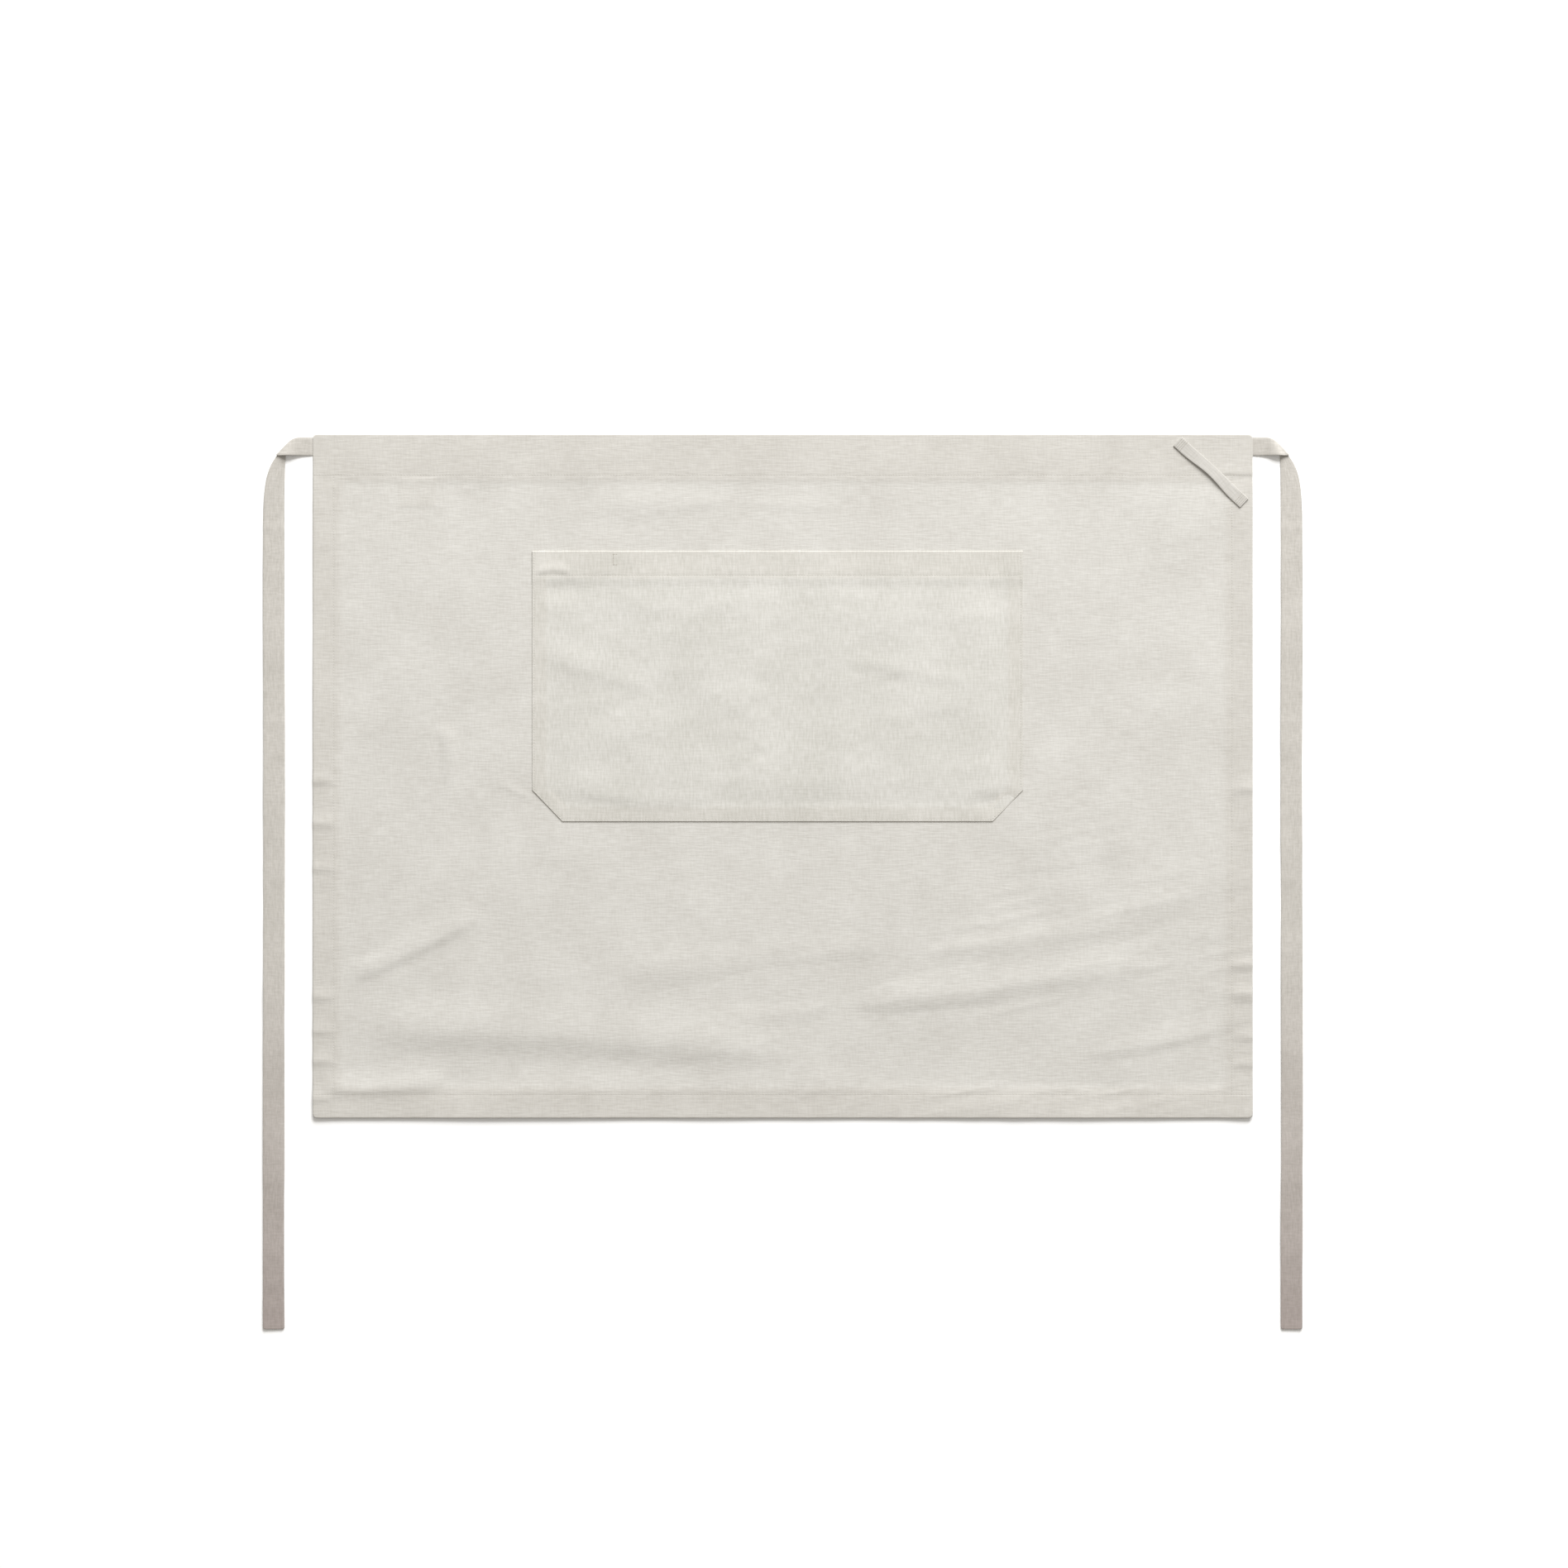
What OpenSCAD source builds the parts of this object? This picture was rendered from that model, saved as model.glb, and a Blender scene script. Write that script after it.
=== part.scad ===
// Linen waist apron, lying flat with its face up.
// X runs along the waist edge, Y towards the waist edge, Z up from the surface it lies on.
// The origin is the middle of the apron's outer box, on that surface.

/* [Linen] */
// Thickness of one layer of the linen
cloth_t = 0.4; // [0.3:0.05:0.5]
// Clear space kept between pieces that move past each other
gap = 0.3; // [0.2:0.05:0.4]

/* [Panel] */
// Width of the hemmed panel
panel_w = 900; // [740:10:1200]
// Height of the hemmed panel
panel_h = 655; // [500:5:800]
// Radius of the panel's corners
corner_r = 4; // [2:1:8]

/* [Hems] */
// Layers of cloth turned to the back in each hem
hem_layers = 2; // [1:1:3]
// Top hem, from the edge to its stitching
top_hem_d = 39; // [30:1:60]
// Side hems, from the edge to their stitching
side_hem_d = 20; // [12:1:30]
// Bottom hem, from the edge to its stitching
bottom_hem_d = 23; // [15:1:40]
// Turned cloth beyond a row of stitching
hem_lip = 3; // [2:0.5:5]

/* [Pocket] */
// Width of the patch pocket
pocket_w = 470; // [300:5:560]
// Height of the patch pocket
pocket_h = 259; // [160:1:330]
// Pocket mouth below the panel's top edge
pocket_drop = 112; // [80:1:140]
// Pocket centre, sideways from the panel's centre
pocket_shift = -5; // [-20:1:20]
// Width of each cut lower corner
corner_cut_w = 29; // [15:1:45]
// Height of each cut lower corner
corner_cut_h = 30; // [15:1:45]
// Mouth hem, from the mouth to its stitching
mouth_hem_d = 23; // [15:1:35]
// Margin of the pocket that the edge stitching holds down
sewn_margin = 5; // [4:0.5:8]
// Seam allowance turned in behind the pocket
allowance_d = 13; // [10:0.5:20]
// Edge of the pocket to its row of stitching
edge_stitch_d = 2; // [1.5:0.25:3]

/* [Hanging loop] */
// Width of the folded loop tape
loop_w = 12; // [8:1:16]
// Thickness of the folded loop tape
loop_t = 1.2; // [0.8:0.1:2]
// Upper end of the loop, in from the panel's side edge
loop_in = 72; // [60:1:95]
// Lower end of the loop, down from the panel's top edge
loop_down = 66; // [60:1:95]
// Upper end of the loop, down from the panel's top edge
loop_top_margin = 7; // [6:0.5:12]
// Lower end of the loop, in from the panel's side edge
loop_side_margin = 8.5; // [7:0.5:14]
// Length of each sewn end of the loop
loop_end_l = 9; // [6:0.5:12]
// Rows of stitching across each sewn end
loop_rows = 4; // [2:1:4]
// Angle at which the free edge of the loop stands off the cloth
loop_tilt = 8; // [3:1:30]

/* [Ties] */
// Width of each tie
tie_w = 20.5; // [15:0.5:26]
// Thickness of each folded tie tape
tie_t = 1.2; // [0.8:0.1:1.8]
// End of each tie, below the panel's top edge
tie_drop = 857; // [700:1:1200]
// Top of each tie, below the panel's top edge
tie_below = 3; // [2:0.5:8]
// How much narrower the tape lies where it leaves the seam
tie_tuck = 3; // [0:0.5:5]
// Start of the corner fold, out from the panel's side edge
fold_out = 18; // [14:1:30]
// Centre of the hanging run, out from the panel's side edge
tie_lane = 37.25; // [34:0.25:60]
// Height over which the run swings out into its lane
tie_swing = 38; // [25:1:80]
// Length of each tie caught inside the hem
tie_root_l = 23; // [15:1:35]
// Radius of the corners at the end of each tie
tie_end_r = 2; // [1:0.5:4]

/* [Care label] */
// Width of the blank care label
label_w = 36; // [20:1:50]
// Length of the label below the top hem
label_l = 28; // [15:1:50]
// Thickness of the label
label_t = 0.3; // [0.15:0.05:0.3]
// Left side of the label, in from the panel's left edge
label_in = 82; // [60:1:200]

/* [Thread] */
// Width of a row of stitching
thread_w = 0.6; // [0.3:0.1:1]
// Height of a row of stitching above the cloth
thread_t = 0.2; // [0.1:0.05:0.3]
// Pocket tack, to the left of the pocket's centre
tack_x = 157; // [100:1:200]
// Length of the pocket tack
tack_l = 10; // [6:1:14]
// Length of the two short stitches that end the tack
tack_foot = 3; // [2:0.5:5]

/* [Hidden] */
$fn = 48;
over = 1;   // how far a cutting shape runs past what it cuts

// Heights of the layers
hem_t = hem_layers * cloth_t;
face_z = hem_t + cloth_t;              // face of the panel
pocket_z = face_z + gap;               // underside of the pocket's turned layers
front_z = pocket_z + 2 * cloth_t;      // underside of the pocket's front layer
pocket_top_z = front_z + cloth_t;
tie_lift = tie_t + gap;                // the tie's tab passes over its run at this height

// Places on the panel
top_y = tie_drop / 2;
edge_x = panel_w / 2;
low_y = top_y - panel_h;
side_hem_edge = side_hem_d + hem_lip;
top_hem_edge = top_hem_d + hem_lip;
bottom_hem_edge = bottom_hem_d + hem_lip;
mouth_hem_edge = mouth_hem_d + hem_lip;

// The loop lies on the line between its two ends, across the top right corner
loop_a = [edge_x - loop_in, top_y - loop_top_margin];
loop_b = [edge_x - loop_side_margin, top_y - loop_down];
loop_l = norm(loop_b - loop_a);
loop_turn = atan2(loop_b[1] - loop_a[1], loop_b[0] - loop_a[0]);
loop_axis_z = face_z + thread_t + gap;

// The tie, measured out from the panel's side edge and up from its top edge
tab_w = tie_w - tie_tuck;
tab_low = -tie_below - tab_w;
crease_x = fold_out + tab_w;
lane_in = tie_lane - tie_w / 2;
lane_out = tie_lane + tie_w / 2;
run_in = fold_out + tab_w * 0.37;      // the run comes out from under the tab here
tie_fold_y = -(tie_drop - tab_low + tie_w) / 2;   // folded up here, the end clears the tab by tie_w
swing_steps = 6;

// ---- helpers

module layer(z, t) {
    translate([0, 0, z]) linear_extrude(t) children();
}

module on_left() {
    mirror([1, 0, 0]) children();
}

// A rectangle from its lower left to its upper right corner
module rect(low, high) {
    translate(low) square(high - low);
}

module rounded_rect(low, high, r) {
    rect(low + [r, 0], high - [r, 0]);
    rect(low + [0, r], high - [0, r]);
    for (x = [low[0] + r, high[0] - r], y = [low[1] + r, high[1] - r])
        translate([x, y]) circle(r);
}

module panel_outline() {
    rounded_rect([-edge_x, low_y], [edge_x, top_y], corner_r);
}

// The pocket's outline, set in by a margin at its sides, foot and cut corners.
// The line of a cut corner is corner_cut_h * x - corner_cut_w * y = reach.
function pocket_points(inset, top = 0) =
    let (reach = corner_cut_h * pocket_w / 2 + corner_cut_w * (pocket_h - corner_cut_h)
                 - inset * norm([corner_cut_w, corner_cut_h]),
         x = pocket_w / 2 - inset,
         low = inset - pocket_h,
         side_y = (corner_cut_h * x - reach) / corner_cut_w,
         low_x = (reach + corner_cut_w * low) / corner_cut_h)
    [[-x, top], [x, top], [x, side_y], [low_x, low], [-low_x, low], [-x, side_y]];

module pocket_shape(inset, top = 0) {
    translate([pocket_shift, top_y - pocket_drop]) polygon(pocket_points(inset, top));
}

// Straight band across the pocket, between two depths below its mouth
module pocket_band(upper, lower) {
    rect([pocket_shift - pocket_w, top_y - pocket_drop - lower],
         [pocket_shift + pocket_w, top_y - pocket_drop - upper]);
}

module loop_frame() {
    translate([loop_a[0], loop_a[1], 0]) rotate([0, 0, loop_turn]) children();
}

// One sewn end of the loop, from a distance along it
module loop_end(start) {
    loop_frame()
        layer(face_z, loop_t) rect([start, -loop_w / 2], [start + loop_end_l, loop_w / 2]);
}

// Rows of stitching across one sewn end
module loop_end_rows(start) {
    pitch = loop_end_l / (loop_rows + 0.5);
    loop_frame()
        for (i = [0.75 : loop_rows])
            translate([start + i * pitch, 0])
                layer(face_z + loop_t, thread_t)
                    square([thread_w, loop_w - 2 * thread_w], center = true);
}

// A side of the apron is drawn at the right, from the corner of the panel
module at_corner() {
    translate([edge_x, top_y, 0]) children();
}

// One side of the run, a quarter of a sine wave from under the tab out into the lane
function swing_out(x0, x1) =
    [for (i = [0 : swing_steps])
        let (k = i / swing_steps)
        [x0 + (x1 - x0) * sin(90 * k), tab_low - tie_swing * k]];

function reversed(points) = [for (i = [len(points) - 1 : -1 : 0]) points[i]];

module run_outline() {
    polygon(concat(
        [[fold_out, -tie_below]],
        swing_out(crease_x, lane_out),
        [[lane_out, tie_fold_y + gap / 2], [lane_in, tie_fold_y + gap / 2]],
        reversed(swing_out(run_in, lane_in))));
}

module tab_outline() {
    polygon([[gap, -tie_below], [fold_out, -tie_below], [crease_x, tab_low], [gap, tab_low]]);
}

// Side view of the tab: it leaves the seam low and climbs over the run
module tab_profile() {
    far = crease_x + over;
    near = gap + hem_lip;
    up = fold_out - over;
    polygon([
        [gap, 0], [near, 0], [up, tie_lift], [far, tie_lift],
        [far, tie_lift + tie_t], [up, tie_lift + tie_t], [near, tie_t], [gap, tie_t]]);
}

module tie_root() {
    color("#d9d5cc") at_corner()
        layer(0, hem_t) rect([-tie_root_l, tab_low], [0, -tie_below]);
}

module tie_tab() {
    color("#d9d5cc") at_corner() intersection() {
        layer(-over, 3 * tie_lift) tab_outline();
        translate([0, over, 0]) rotate([90, 0, 0]) linear_extrude(2 * over - tab_low) tab_profile();
    }
}

module tie_run() {
    color("#d0cbc2") at_corner() layer(0, tie_t) run_outline();
}

module tie_end() {
    low = [lane_in, -tie_drop];
    high = [lane_out, tie_fold_y - gap / 2];
    color("#a89f95") at_corner() layer(0, tie_t) {
        rounded_rect(low, high, tie_end_r);
        rect([lane_in, high[1] - 2 * tie_end_r], high);
    }
}

// ---- the panel and its hems

module panel() {
    color("#dddad2") layer(hem_t, cloth_t) panel_outline();
}

module top_hem() {
    color("#d6d3cc") difference() {
        layer(0, hem_t) intersection() {
            panel_outline();
            rect([-edge_x, top_y - top_hem_edge], [edge_x, top_y]);
        }
        for (side = [0, 1])
            mirror([side, 0, 0]) at_corner()
                layer(-over, hem_t + 2 * over) rect([-tie_root_l, tab_low], [over, -tie_below]);
    }
}

module bottom_hem() {
    color("#d6d3cc") layer(0, hem_t) intersection() {
        panel_outline();
        rect([-edge_x, low_y], [edge_x, low_y + bottom_hem_edge]);
    }
}

module right_hem() {
    color("#d6d3cc") layer(0, hem_t)
        rect([edge_x - side_hem_edge, low_y + bottom_hem_edge], [edge_x, top_y - top_hem_edge]);
}

module left_hem() {
    on_left() right_hem();
}

// The blank label hangs behind the panel from the lower edge of the top hem
module care_label() {
    x = label_in - edge_x;
    y = top_y - top_hem_edge;
    color("#efece6") layer(hem_t - label_t, label_t) rect([x, y - label_l], [x + label_w, y]);
}

module row_across(y) {
    color("#e9e6df") layer(face_z, thread_t)
        rect([corner_r - edge_x, y - thread_w / 2], [edge_x - corner_r, y + thread_w / 2]);
}

module top_hem_stitching() {
    row_across(top_y - top_hem_d);
}

module bottom_hem_stitching() {
    row_across(low_y + bottom_hem_d);
}

module right_hem_stitching() {
    x = edge_x - side_hem_d;
    color("#e9e6df") layer(face_z, thread_t)
        rect([x - thread_w / 2, low_y + bottom_hem_d + thread_w],
             [x + thread_w / 2, top_y - top_hem_d - thread_w]);
}

module left_hem_stitching() {
    on_left() right_hem_stitching();
}

// ---- the pocket

// Margin sewn down round the sides and foot, open at the mouth
module pocket_border() {
    color("#dedbd3") layer(face_z, pocket_top_z - face_z) difference() {
        pocket_shape(0);
        pocket_shape(sewn_margin, over);
    }
}

module pocket_stitching() {
    color("#e9e6df") layer(pocket_top_z, thread_t) difference() {
        pocket_shape(edge_stitch_d - thread_w / 2);
        pocket_shape(edge_stitch_d + thread_w / 2, over);
    }
}

// Free field of the pocket, whose mouth lifts
module pocket_front() {
    color("#dedad3") layer(front_z, cloth_t) pocket_shape(sewn_margin + gap);
}

// Single turned layer behind the sides and foot of the field
module pocket_allowance() {
    color("#d6d3cc") layer(front_z - cloth_t, cloth_t) difference() {
        pocket_shape(sewn_margin + gap);
        pocket_shape(allowance_d, over);
        pocket_band(-over, mouth_hem_edge);
    }
}

// Cloth turned under twice at the mouth
module pocket_hem() {
    color("#d6d3cc") layer(pocket_z, front_z - pocket_z) intersection() {
        pocket_shape(sewn_margin + gap);
        pocket_band(-over, mouth_hem_edge);
    }
}

module pocket_hem_stitching() {
    color("#e9e6df") layer(pocket_top_z, thread_t) intersection() {
        pocket_shape(sewn_margin + gap);
        pocket_band(mouth_hem_d - thread_w / 2, mouth_hem_d + thread_w / 2);
    }
}

// Short upright tack on the mouth hem, with a foot stitch at each end
module pocket_tack() {
    color("#8f887d") translate([pocket_shift - tack_x, top_y - pocket_drop - hem_lip - tack_l])
        layer(pocket_top_z, thread_t) {
            rect([0, 0], [thread_w, tack_l]);
            for (y = [0, tack_l - thread_w])
                rect([0, y], [tack_foot, y + thread_w]);
        }
}

// ---- the hanging loop

module loop_upper_end() {
    color("#dad7cf") loop_end(0);
}

module loop_lower_end() {
    color("#dad7cf") loop_end(loop_l - loop_end_l);
}

// Free stretch between the sewn ends, tilted up about its edge nearest the corner
module loop_span() {
    start = loop_end_l + gap;
    color("#dad7cf") loop_frame()
        translate([0, loop_w / 2, loop_axis_z]) rotate([-loop_tilt, 0, 0])
            layer(0, loop_t) rect([start, -loop_w], [loop_l - start, 0]);
}

module loop_upper_stitching() {
    color("#8f887d") loop_end_rows(0);
}

module loop_lower_stitching() {
    color("#8f887d") loop_end_rows(loop_l - loop_end_l);
}

// ---- the ties

module right_tie_root() {
    tie_root();
}

module right_tie_tab() {
    tie_tab();
}

module right_tie_run() {
    tie_run();
}

module right_tie_end() {
    tie_end();
}

module left_tie_root() {
    on_left() tie_root();
}

module left_tie_tab() {
    on_left() tie_tab();
}

module left_tie_run() {
    on_left() tie_run();
}

module left_tie_end() {
    on_left() tie_end();
}

panel();
top_hem();
bottom_hem();
left_hem();
right_hem();
care_label();
top_hem_stitching();
bottom_hem_stitching();
left_hem_stitching();
right_hem_stitching();
pocket_border();
pocket_stitching();
pocket_front();
pocket_allowance();
pocket_hem();
pocket_hem_stitching();
pocket_tack();
loop_upper_end();
loop_lower_end();
loop_span();
loop_upper_stitching();
loop_lower_stitching();
left_tie_root();
left_tie_tab();
left_tie_run();
left_tie_end();
right_tie_root();
right_tie_tab();
right_tie_run();
right_tie_end();
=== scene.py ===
"""Visible model of a linen waist apron, laid flat with its face up.

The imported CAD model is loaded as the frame. Every solid of it is cloth, tape or thread, so each
is replaced by a piece made here: the panel with its turned hems, the patch pocket, the hanging
loop, the two folded ties, the label behind the panel, and every row of stitching.

All lengths are in metres. X runs along the waist edge, Y towards it, and Z up from the table.
"""

import logging
import math
from collections.abc import Sequence
from dataclasses import dataclass
from enum import Enum

import bmesh
import bpy
import numpy as np
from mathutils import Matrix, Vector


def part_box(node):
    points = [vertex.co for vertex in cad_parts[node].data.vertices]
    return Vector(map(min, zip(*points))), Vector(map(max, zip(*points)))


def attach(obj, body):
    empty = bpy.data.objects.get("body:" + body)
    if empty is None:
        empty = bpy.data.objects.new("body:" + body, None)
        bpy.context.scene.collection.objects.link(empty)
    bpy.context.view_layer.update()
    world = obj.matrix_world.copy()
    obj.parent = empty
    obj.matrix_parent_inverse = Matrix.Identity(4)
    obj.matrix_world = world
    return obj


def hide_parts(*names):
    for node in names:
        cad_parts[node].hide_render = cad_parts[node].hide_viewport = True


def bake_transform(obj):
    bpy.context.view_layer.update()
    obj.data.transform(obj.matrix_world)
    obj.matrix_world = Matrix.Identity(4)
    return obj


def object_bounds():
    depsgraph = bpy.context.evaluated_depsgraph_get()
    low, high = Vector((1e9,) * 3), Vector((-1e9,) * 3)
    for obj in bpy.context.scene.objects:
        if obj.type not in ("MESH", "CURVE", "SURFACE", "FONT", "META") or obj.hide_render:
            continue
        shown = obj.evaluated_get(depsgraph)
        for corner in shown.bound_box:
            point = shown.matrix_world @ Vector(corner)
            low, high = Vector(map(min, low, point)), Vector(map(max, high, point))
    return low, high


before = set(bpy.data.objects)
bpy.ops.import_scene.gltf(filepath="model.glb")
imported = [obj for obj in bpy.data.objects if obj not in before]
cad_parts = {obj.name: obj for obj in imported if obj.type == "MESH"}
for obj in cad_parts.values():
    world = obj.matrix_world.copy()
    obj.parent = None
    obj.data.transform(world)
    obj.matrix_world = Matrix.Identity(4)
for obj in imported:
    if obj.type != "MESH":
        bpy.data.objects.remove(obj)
CAD_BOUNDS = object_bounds()

MM = 0.001
UP = np.array([0.0, 0.0, 1.0])
CRISP_ANGLE = math.radians(52)  # sharper edges than this are not shaded smooth
PATH_STEP = 1.3 * MM  # gap between the points of a path of stitches
Array = np.ndarray
log = logging.getLogger("apron")


class Side(Enum):
    """Which tie or half a piece belongs to, with the sign of its X."""

    LEFT = -1
    RIGHT = 1

    @property
    def word(self) -> str:
        """The side's name, as node and body names spell it."""
        return self.name.lower()


# ---- curves, noise and joints


def smoothstep(low: float, high: float, value: Array) -> Array:
    """Rises smoothly from 0 at low to 1 at high.

    Args:
        low: Where the rise starts.
        high: Where the rise ends.
        value: The places to work it out at.

    Returns:
        A number from 0 to 1 for each place.
    """
    t = np.clip((np.asarray(value, float) - low) / (high - low), 0.0, 1.0)
    return t * t * (3.0 - 2.0 * t)


def hump(distance: Array, width: float) -> Array:
    """A soft hump of height 1 at distance 0, down to about a third at one width."""
    return np.exp(-((np.asarray(distance, float) / width) ** 2))


def soft_noise(u: Array, v: Array, seed: int) -> Array:
    """Smooth random heights from -1 to 1, with one bump to each whole step of u and v.

    Args:
        u: First coordinate, in bumps.
        v: Second coordinate, in bumps.
        seed: Which set of random heights to take.

    Returns:
        The height at each place.
    """
    size = 64
    table = np.random.default_rng(seed).uniform(-1.0, 1.0, (size, size))
    u, v = np.broadcast_arrays(np.asarray(u, float), np.asarray(v, float))
    iu, iv = np.floor(u).astype(int), np.floor(v).astype(int)
    fu, fv = u - iu, v - iv
    fu = fu**3 * (fu * (fu * 6.0 - 15.0) + 10.0)
    fv = fv**3 * (fv * (fv * 6.0 - 15.0) + 10.0)
    low, high = (
        table[row % size, iu % size] * (1 - fu) + table[row % size, (iu + 1) % size] * fu
        for row in (iv, iv + 1)
    )
    return low * (1 - fv) + high * fv


def grid_lines(low: float, high: float, step: float, extra: Sequence[float] = ()) -> Array:
    """Places grid lines at an even step, with some at exact places, in an even number of gaps.

    Args:
        low: First line.
        high: Last line.
        step: Gap between the even lines.
        extra: Places that must have a line of their own.

    Returns:
        The lines in rising order.
    """
    exact = [e for e in extra if low < e < high]
    even = np.linspace(low, high, max(3, round((high - low) / step) + 1))[1:-1]
    kept = [e for e in even if all(abs(e - x) > 0.45 * step for x in exact)]
    lines = sorted([low, high, *exact, *kept])
    if len(lines) % 2 == 0:
        widest = int(np.argmax(np.diff(lines)))
        lines.insert(widest + 1, (lines[widest] + lines[widest + 1]) / 2)
    return np.array(lines)


# ---- materials


def linear(hex_colour: str) -> tuple[float, float, float, float]:
    """Turns an sRGB hex colour to the linear RGBA that Blender's sockets take."""
    parts = [int(hex_colour[i : i + 2], 16) / 255 for i in (1, 3, 5)]
    r, g, b = (c / 12.92 if c <= 0.04045 else ((c + 0.055) / 1.055) ** 2.4 for c in parts)
    return (r, g, b, 1.0)


def add(
    tree: bpy.types.NodeTree, kind: str, inputs: dict | None = None, **settings: object
) -> bpy.types.Node:
    """Adds a node to a tree, with its settings, values and links.

    Args:
        tree: The node tree.
        kind: The node's type name.
        inputs: Its inputs by name or number: a socket is linked, anything else is set.
        **settings: The node's own properties.

    Returns:
        The new node.
    """
    made = tree.nodes.new(kind)
    for name, value in settings.items():
        setattr(made, name, value)
    for key, value in (inputs or {}).items():
        if isinstance(value, bpy.types.NodeSocket):
            tree.links.new(value, made.inputs[key])
        else:
            made.inputs[key].default_value = value
    return made


@dataclass(frozen=True)
class WovenLinen:
    """Plain-woven washed linen: matt and off-white, with thick and thin yarns in both directions.

    The yarns are about 0.5 mm apart, finer than shows from arm's length, so the streaks of
    thicker yarn are drawn 1.5 to 2 mm wide. They follow the piece's own map, in metres.
    """

    name: str
    pale: str = "#c8c6c1"  # crowns of the thicker yarns
    deep: str = "#b7b4ae"  # between the yarns
    along_mm: float = 14.0  # length of a thick stretch of yarn
    across_mm: float = 1.7  # width drawn for one yarn
    warp: float = 0.6  # how much stronger the streaks along the map's X are
    backed_painted_shade: str = "#f9f8f7"  # painted shade: tint where turned layers lie behind and let less light through the cloth
    far_end_painted_shade: str = "#ffffff"  # painted shade: tint darkening the far end of a long piece, where the light falls off
    weft_share: float = 0.8  # length of the streaks along Y, as a part of the ones along X
    mottle_mm: float = 55.0  # size of the faint cloudy patches
    mottle: float = 0.28  # their share of the colour
    bump_mm: float = 0.35
    roughness: float = 0.94

    def build(self) -> bpy.types.Material:
        """Makes the material.

        Returns:
            The material, ready for a mesh that has the map and attributes of cloth_mesh.
        """
        material = bpy.data.materials.new(self.name)
        material.use_nodes = True
        tree = material.node_tree
        tree.nodes.clear()
        place = add(tree, "ShaderNodeUVMap", uv_map="cloth_map").outputs["UV"]
        streaks = []
        for across, length in ((False, self.along_mm), (True, self.along_mm * self.weft_share)):
            size = (1 / (length * MM), 1 / (self.across_mm * MM), 1.0)
            turned = (size[1], size[0], 1.0) if across else size
            spread = add(tree, "ShaderNodeMapping", {"Vector": place, "Scale": turned})
            noise = add(
                tree, "ShaderNodeTexNoise",
                {
                    "Vector": spread.outputs["Vector"], "Scale": 1.0,
                    "Detail": 2.0, "Roughness": 0.55,
                },
                noise_dimensions="2D",
            )
            streaks.append(noise.outputs["Fac"])
        weave = add(
            tree, "ShaderNodeMix",
            {"Factor": 1.0 - self.warp, 2: streaks[0], 3: streaks[1]}, data_type="FLOAT",
        ).outputs[0]
        mottle = add(
            tree, "ShaderNodeTexNoise",
            {"Vector": place, "Scale": 1 / (self.mottle_mm * MM), "Detail": 2.0, "Roughness": 0.5},
            noise_dimensions="2D",
        ).outputs["Fac"]
        both = add(
            tree, "ShaderNodeMix", {"Factor": self.mottle, 2: weave, 3: mottle},
            data_type="FLOAT",
        )
        level = add(
            tree, "ShaderNodeMapRange",
            {"Value": both.outputs[0], "From Min": 0.3, "From Max": 0.7},
        ).outputs["Result"]
        colour = add(
            tree, "ShaderNodeMix",
            {"Factor": level, 6: linear(self.deep), 7: linear(self.pale)}, data_type="RGBA",
        ).outputs[2]
        # painted shade: these tints darken the cloth where layers lie behind it and at the far end
        # of a long piece
        for attribute, tint in (("layers", self.backed_painted_shade), ("far", self.far_end_painted_shade)):
            share = add(tree, "ShaderNodeAttribute", attribute_name=attribute).outputs["Fac"]
            colour = add(
                tree, "ShaderNodeMix", {"Factor": share, 6: colour, 7: linear(tint)},
                data_type="RGBA", blend_type="MULTIPLY",
            ).outputs[2]
        bump = add(
            tree, "ShaderNodeBump",
            {"Height": weave, "Strength": 0.5, "Distance": self.bump_mm * MM},
        )
        shader = add(
            tree, "ShaderNodeBsdfPrincipled",
            {
                "Base Color": colour, "Roughness": self.roughness, "Normal": bump.outputs["Normal"],
                "Specular IOR Level": 0.2, "Sheen Weight": 0.12, "Sheen Roughness": 0.6,
            },
        )
        add(tree, "ShaderNodeOutputMaterial", {"Surface": shader.outputs["BSDF"]})
        return material


@dataclass(frozen=True)
class SpunThread:
    """Two-ply sewing thread: slightly glossier than the cloth, with a fine twist across it."""

    name: str
    colour: str
    shade: str
    twist_mm: float = 0.5
    roughness: float = 0.7

    def build(self) -> bpy.types.Material:
        """Makes the material, with its twist on Object coordinates."""
        material = bpy.data.materials.new(self.name)
        material.use_nodes = True
        tree = material.node_tree
        tree.nodes.clear()
        place = add(tree, "ShaderNodeTexCoord").outputs["Object"]
        twist = add(
            tree, "ShaderNodeTexWave",
            {"Vector": place, "Scale": 1 / (self.twist_mm * MM) / 10, "Distortion": 2.0},
            bands_direction="DIAGONAL",
        ).outputs["Fac"]
        colour = add(
            tree, "ShaderNodeMix",
            {"Factor": twist, 6: linear(self.shade), 7: linear(self.colour)}, data_type="RGBA",
        ).outputs[2]
        shader = add(
            tree, "ShaderNodeBsdfPrincipled",
            {"Base Color": colour, "Roughness": self.roughness, "Specular IOR Level": 0.3},
        )
        add(tree, "ShaderNodeOutputMaterial", {"Surface": shader.outputs["BSDF"]})
        return material


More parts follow.
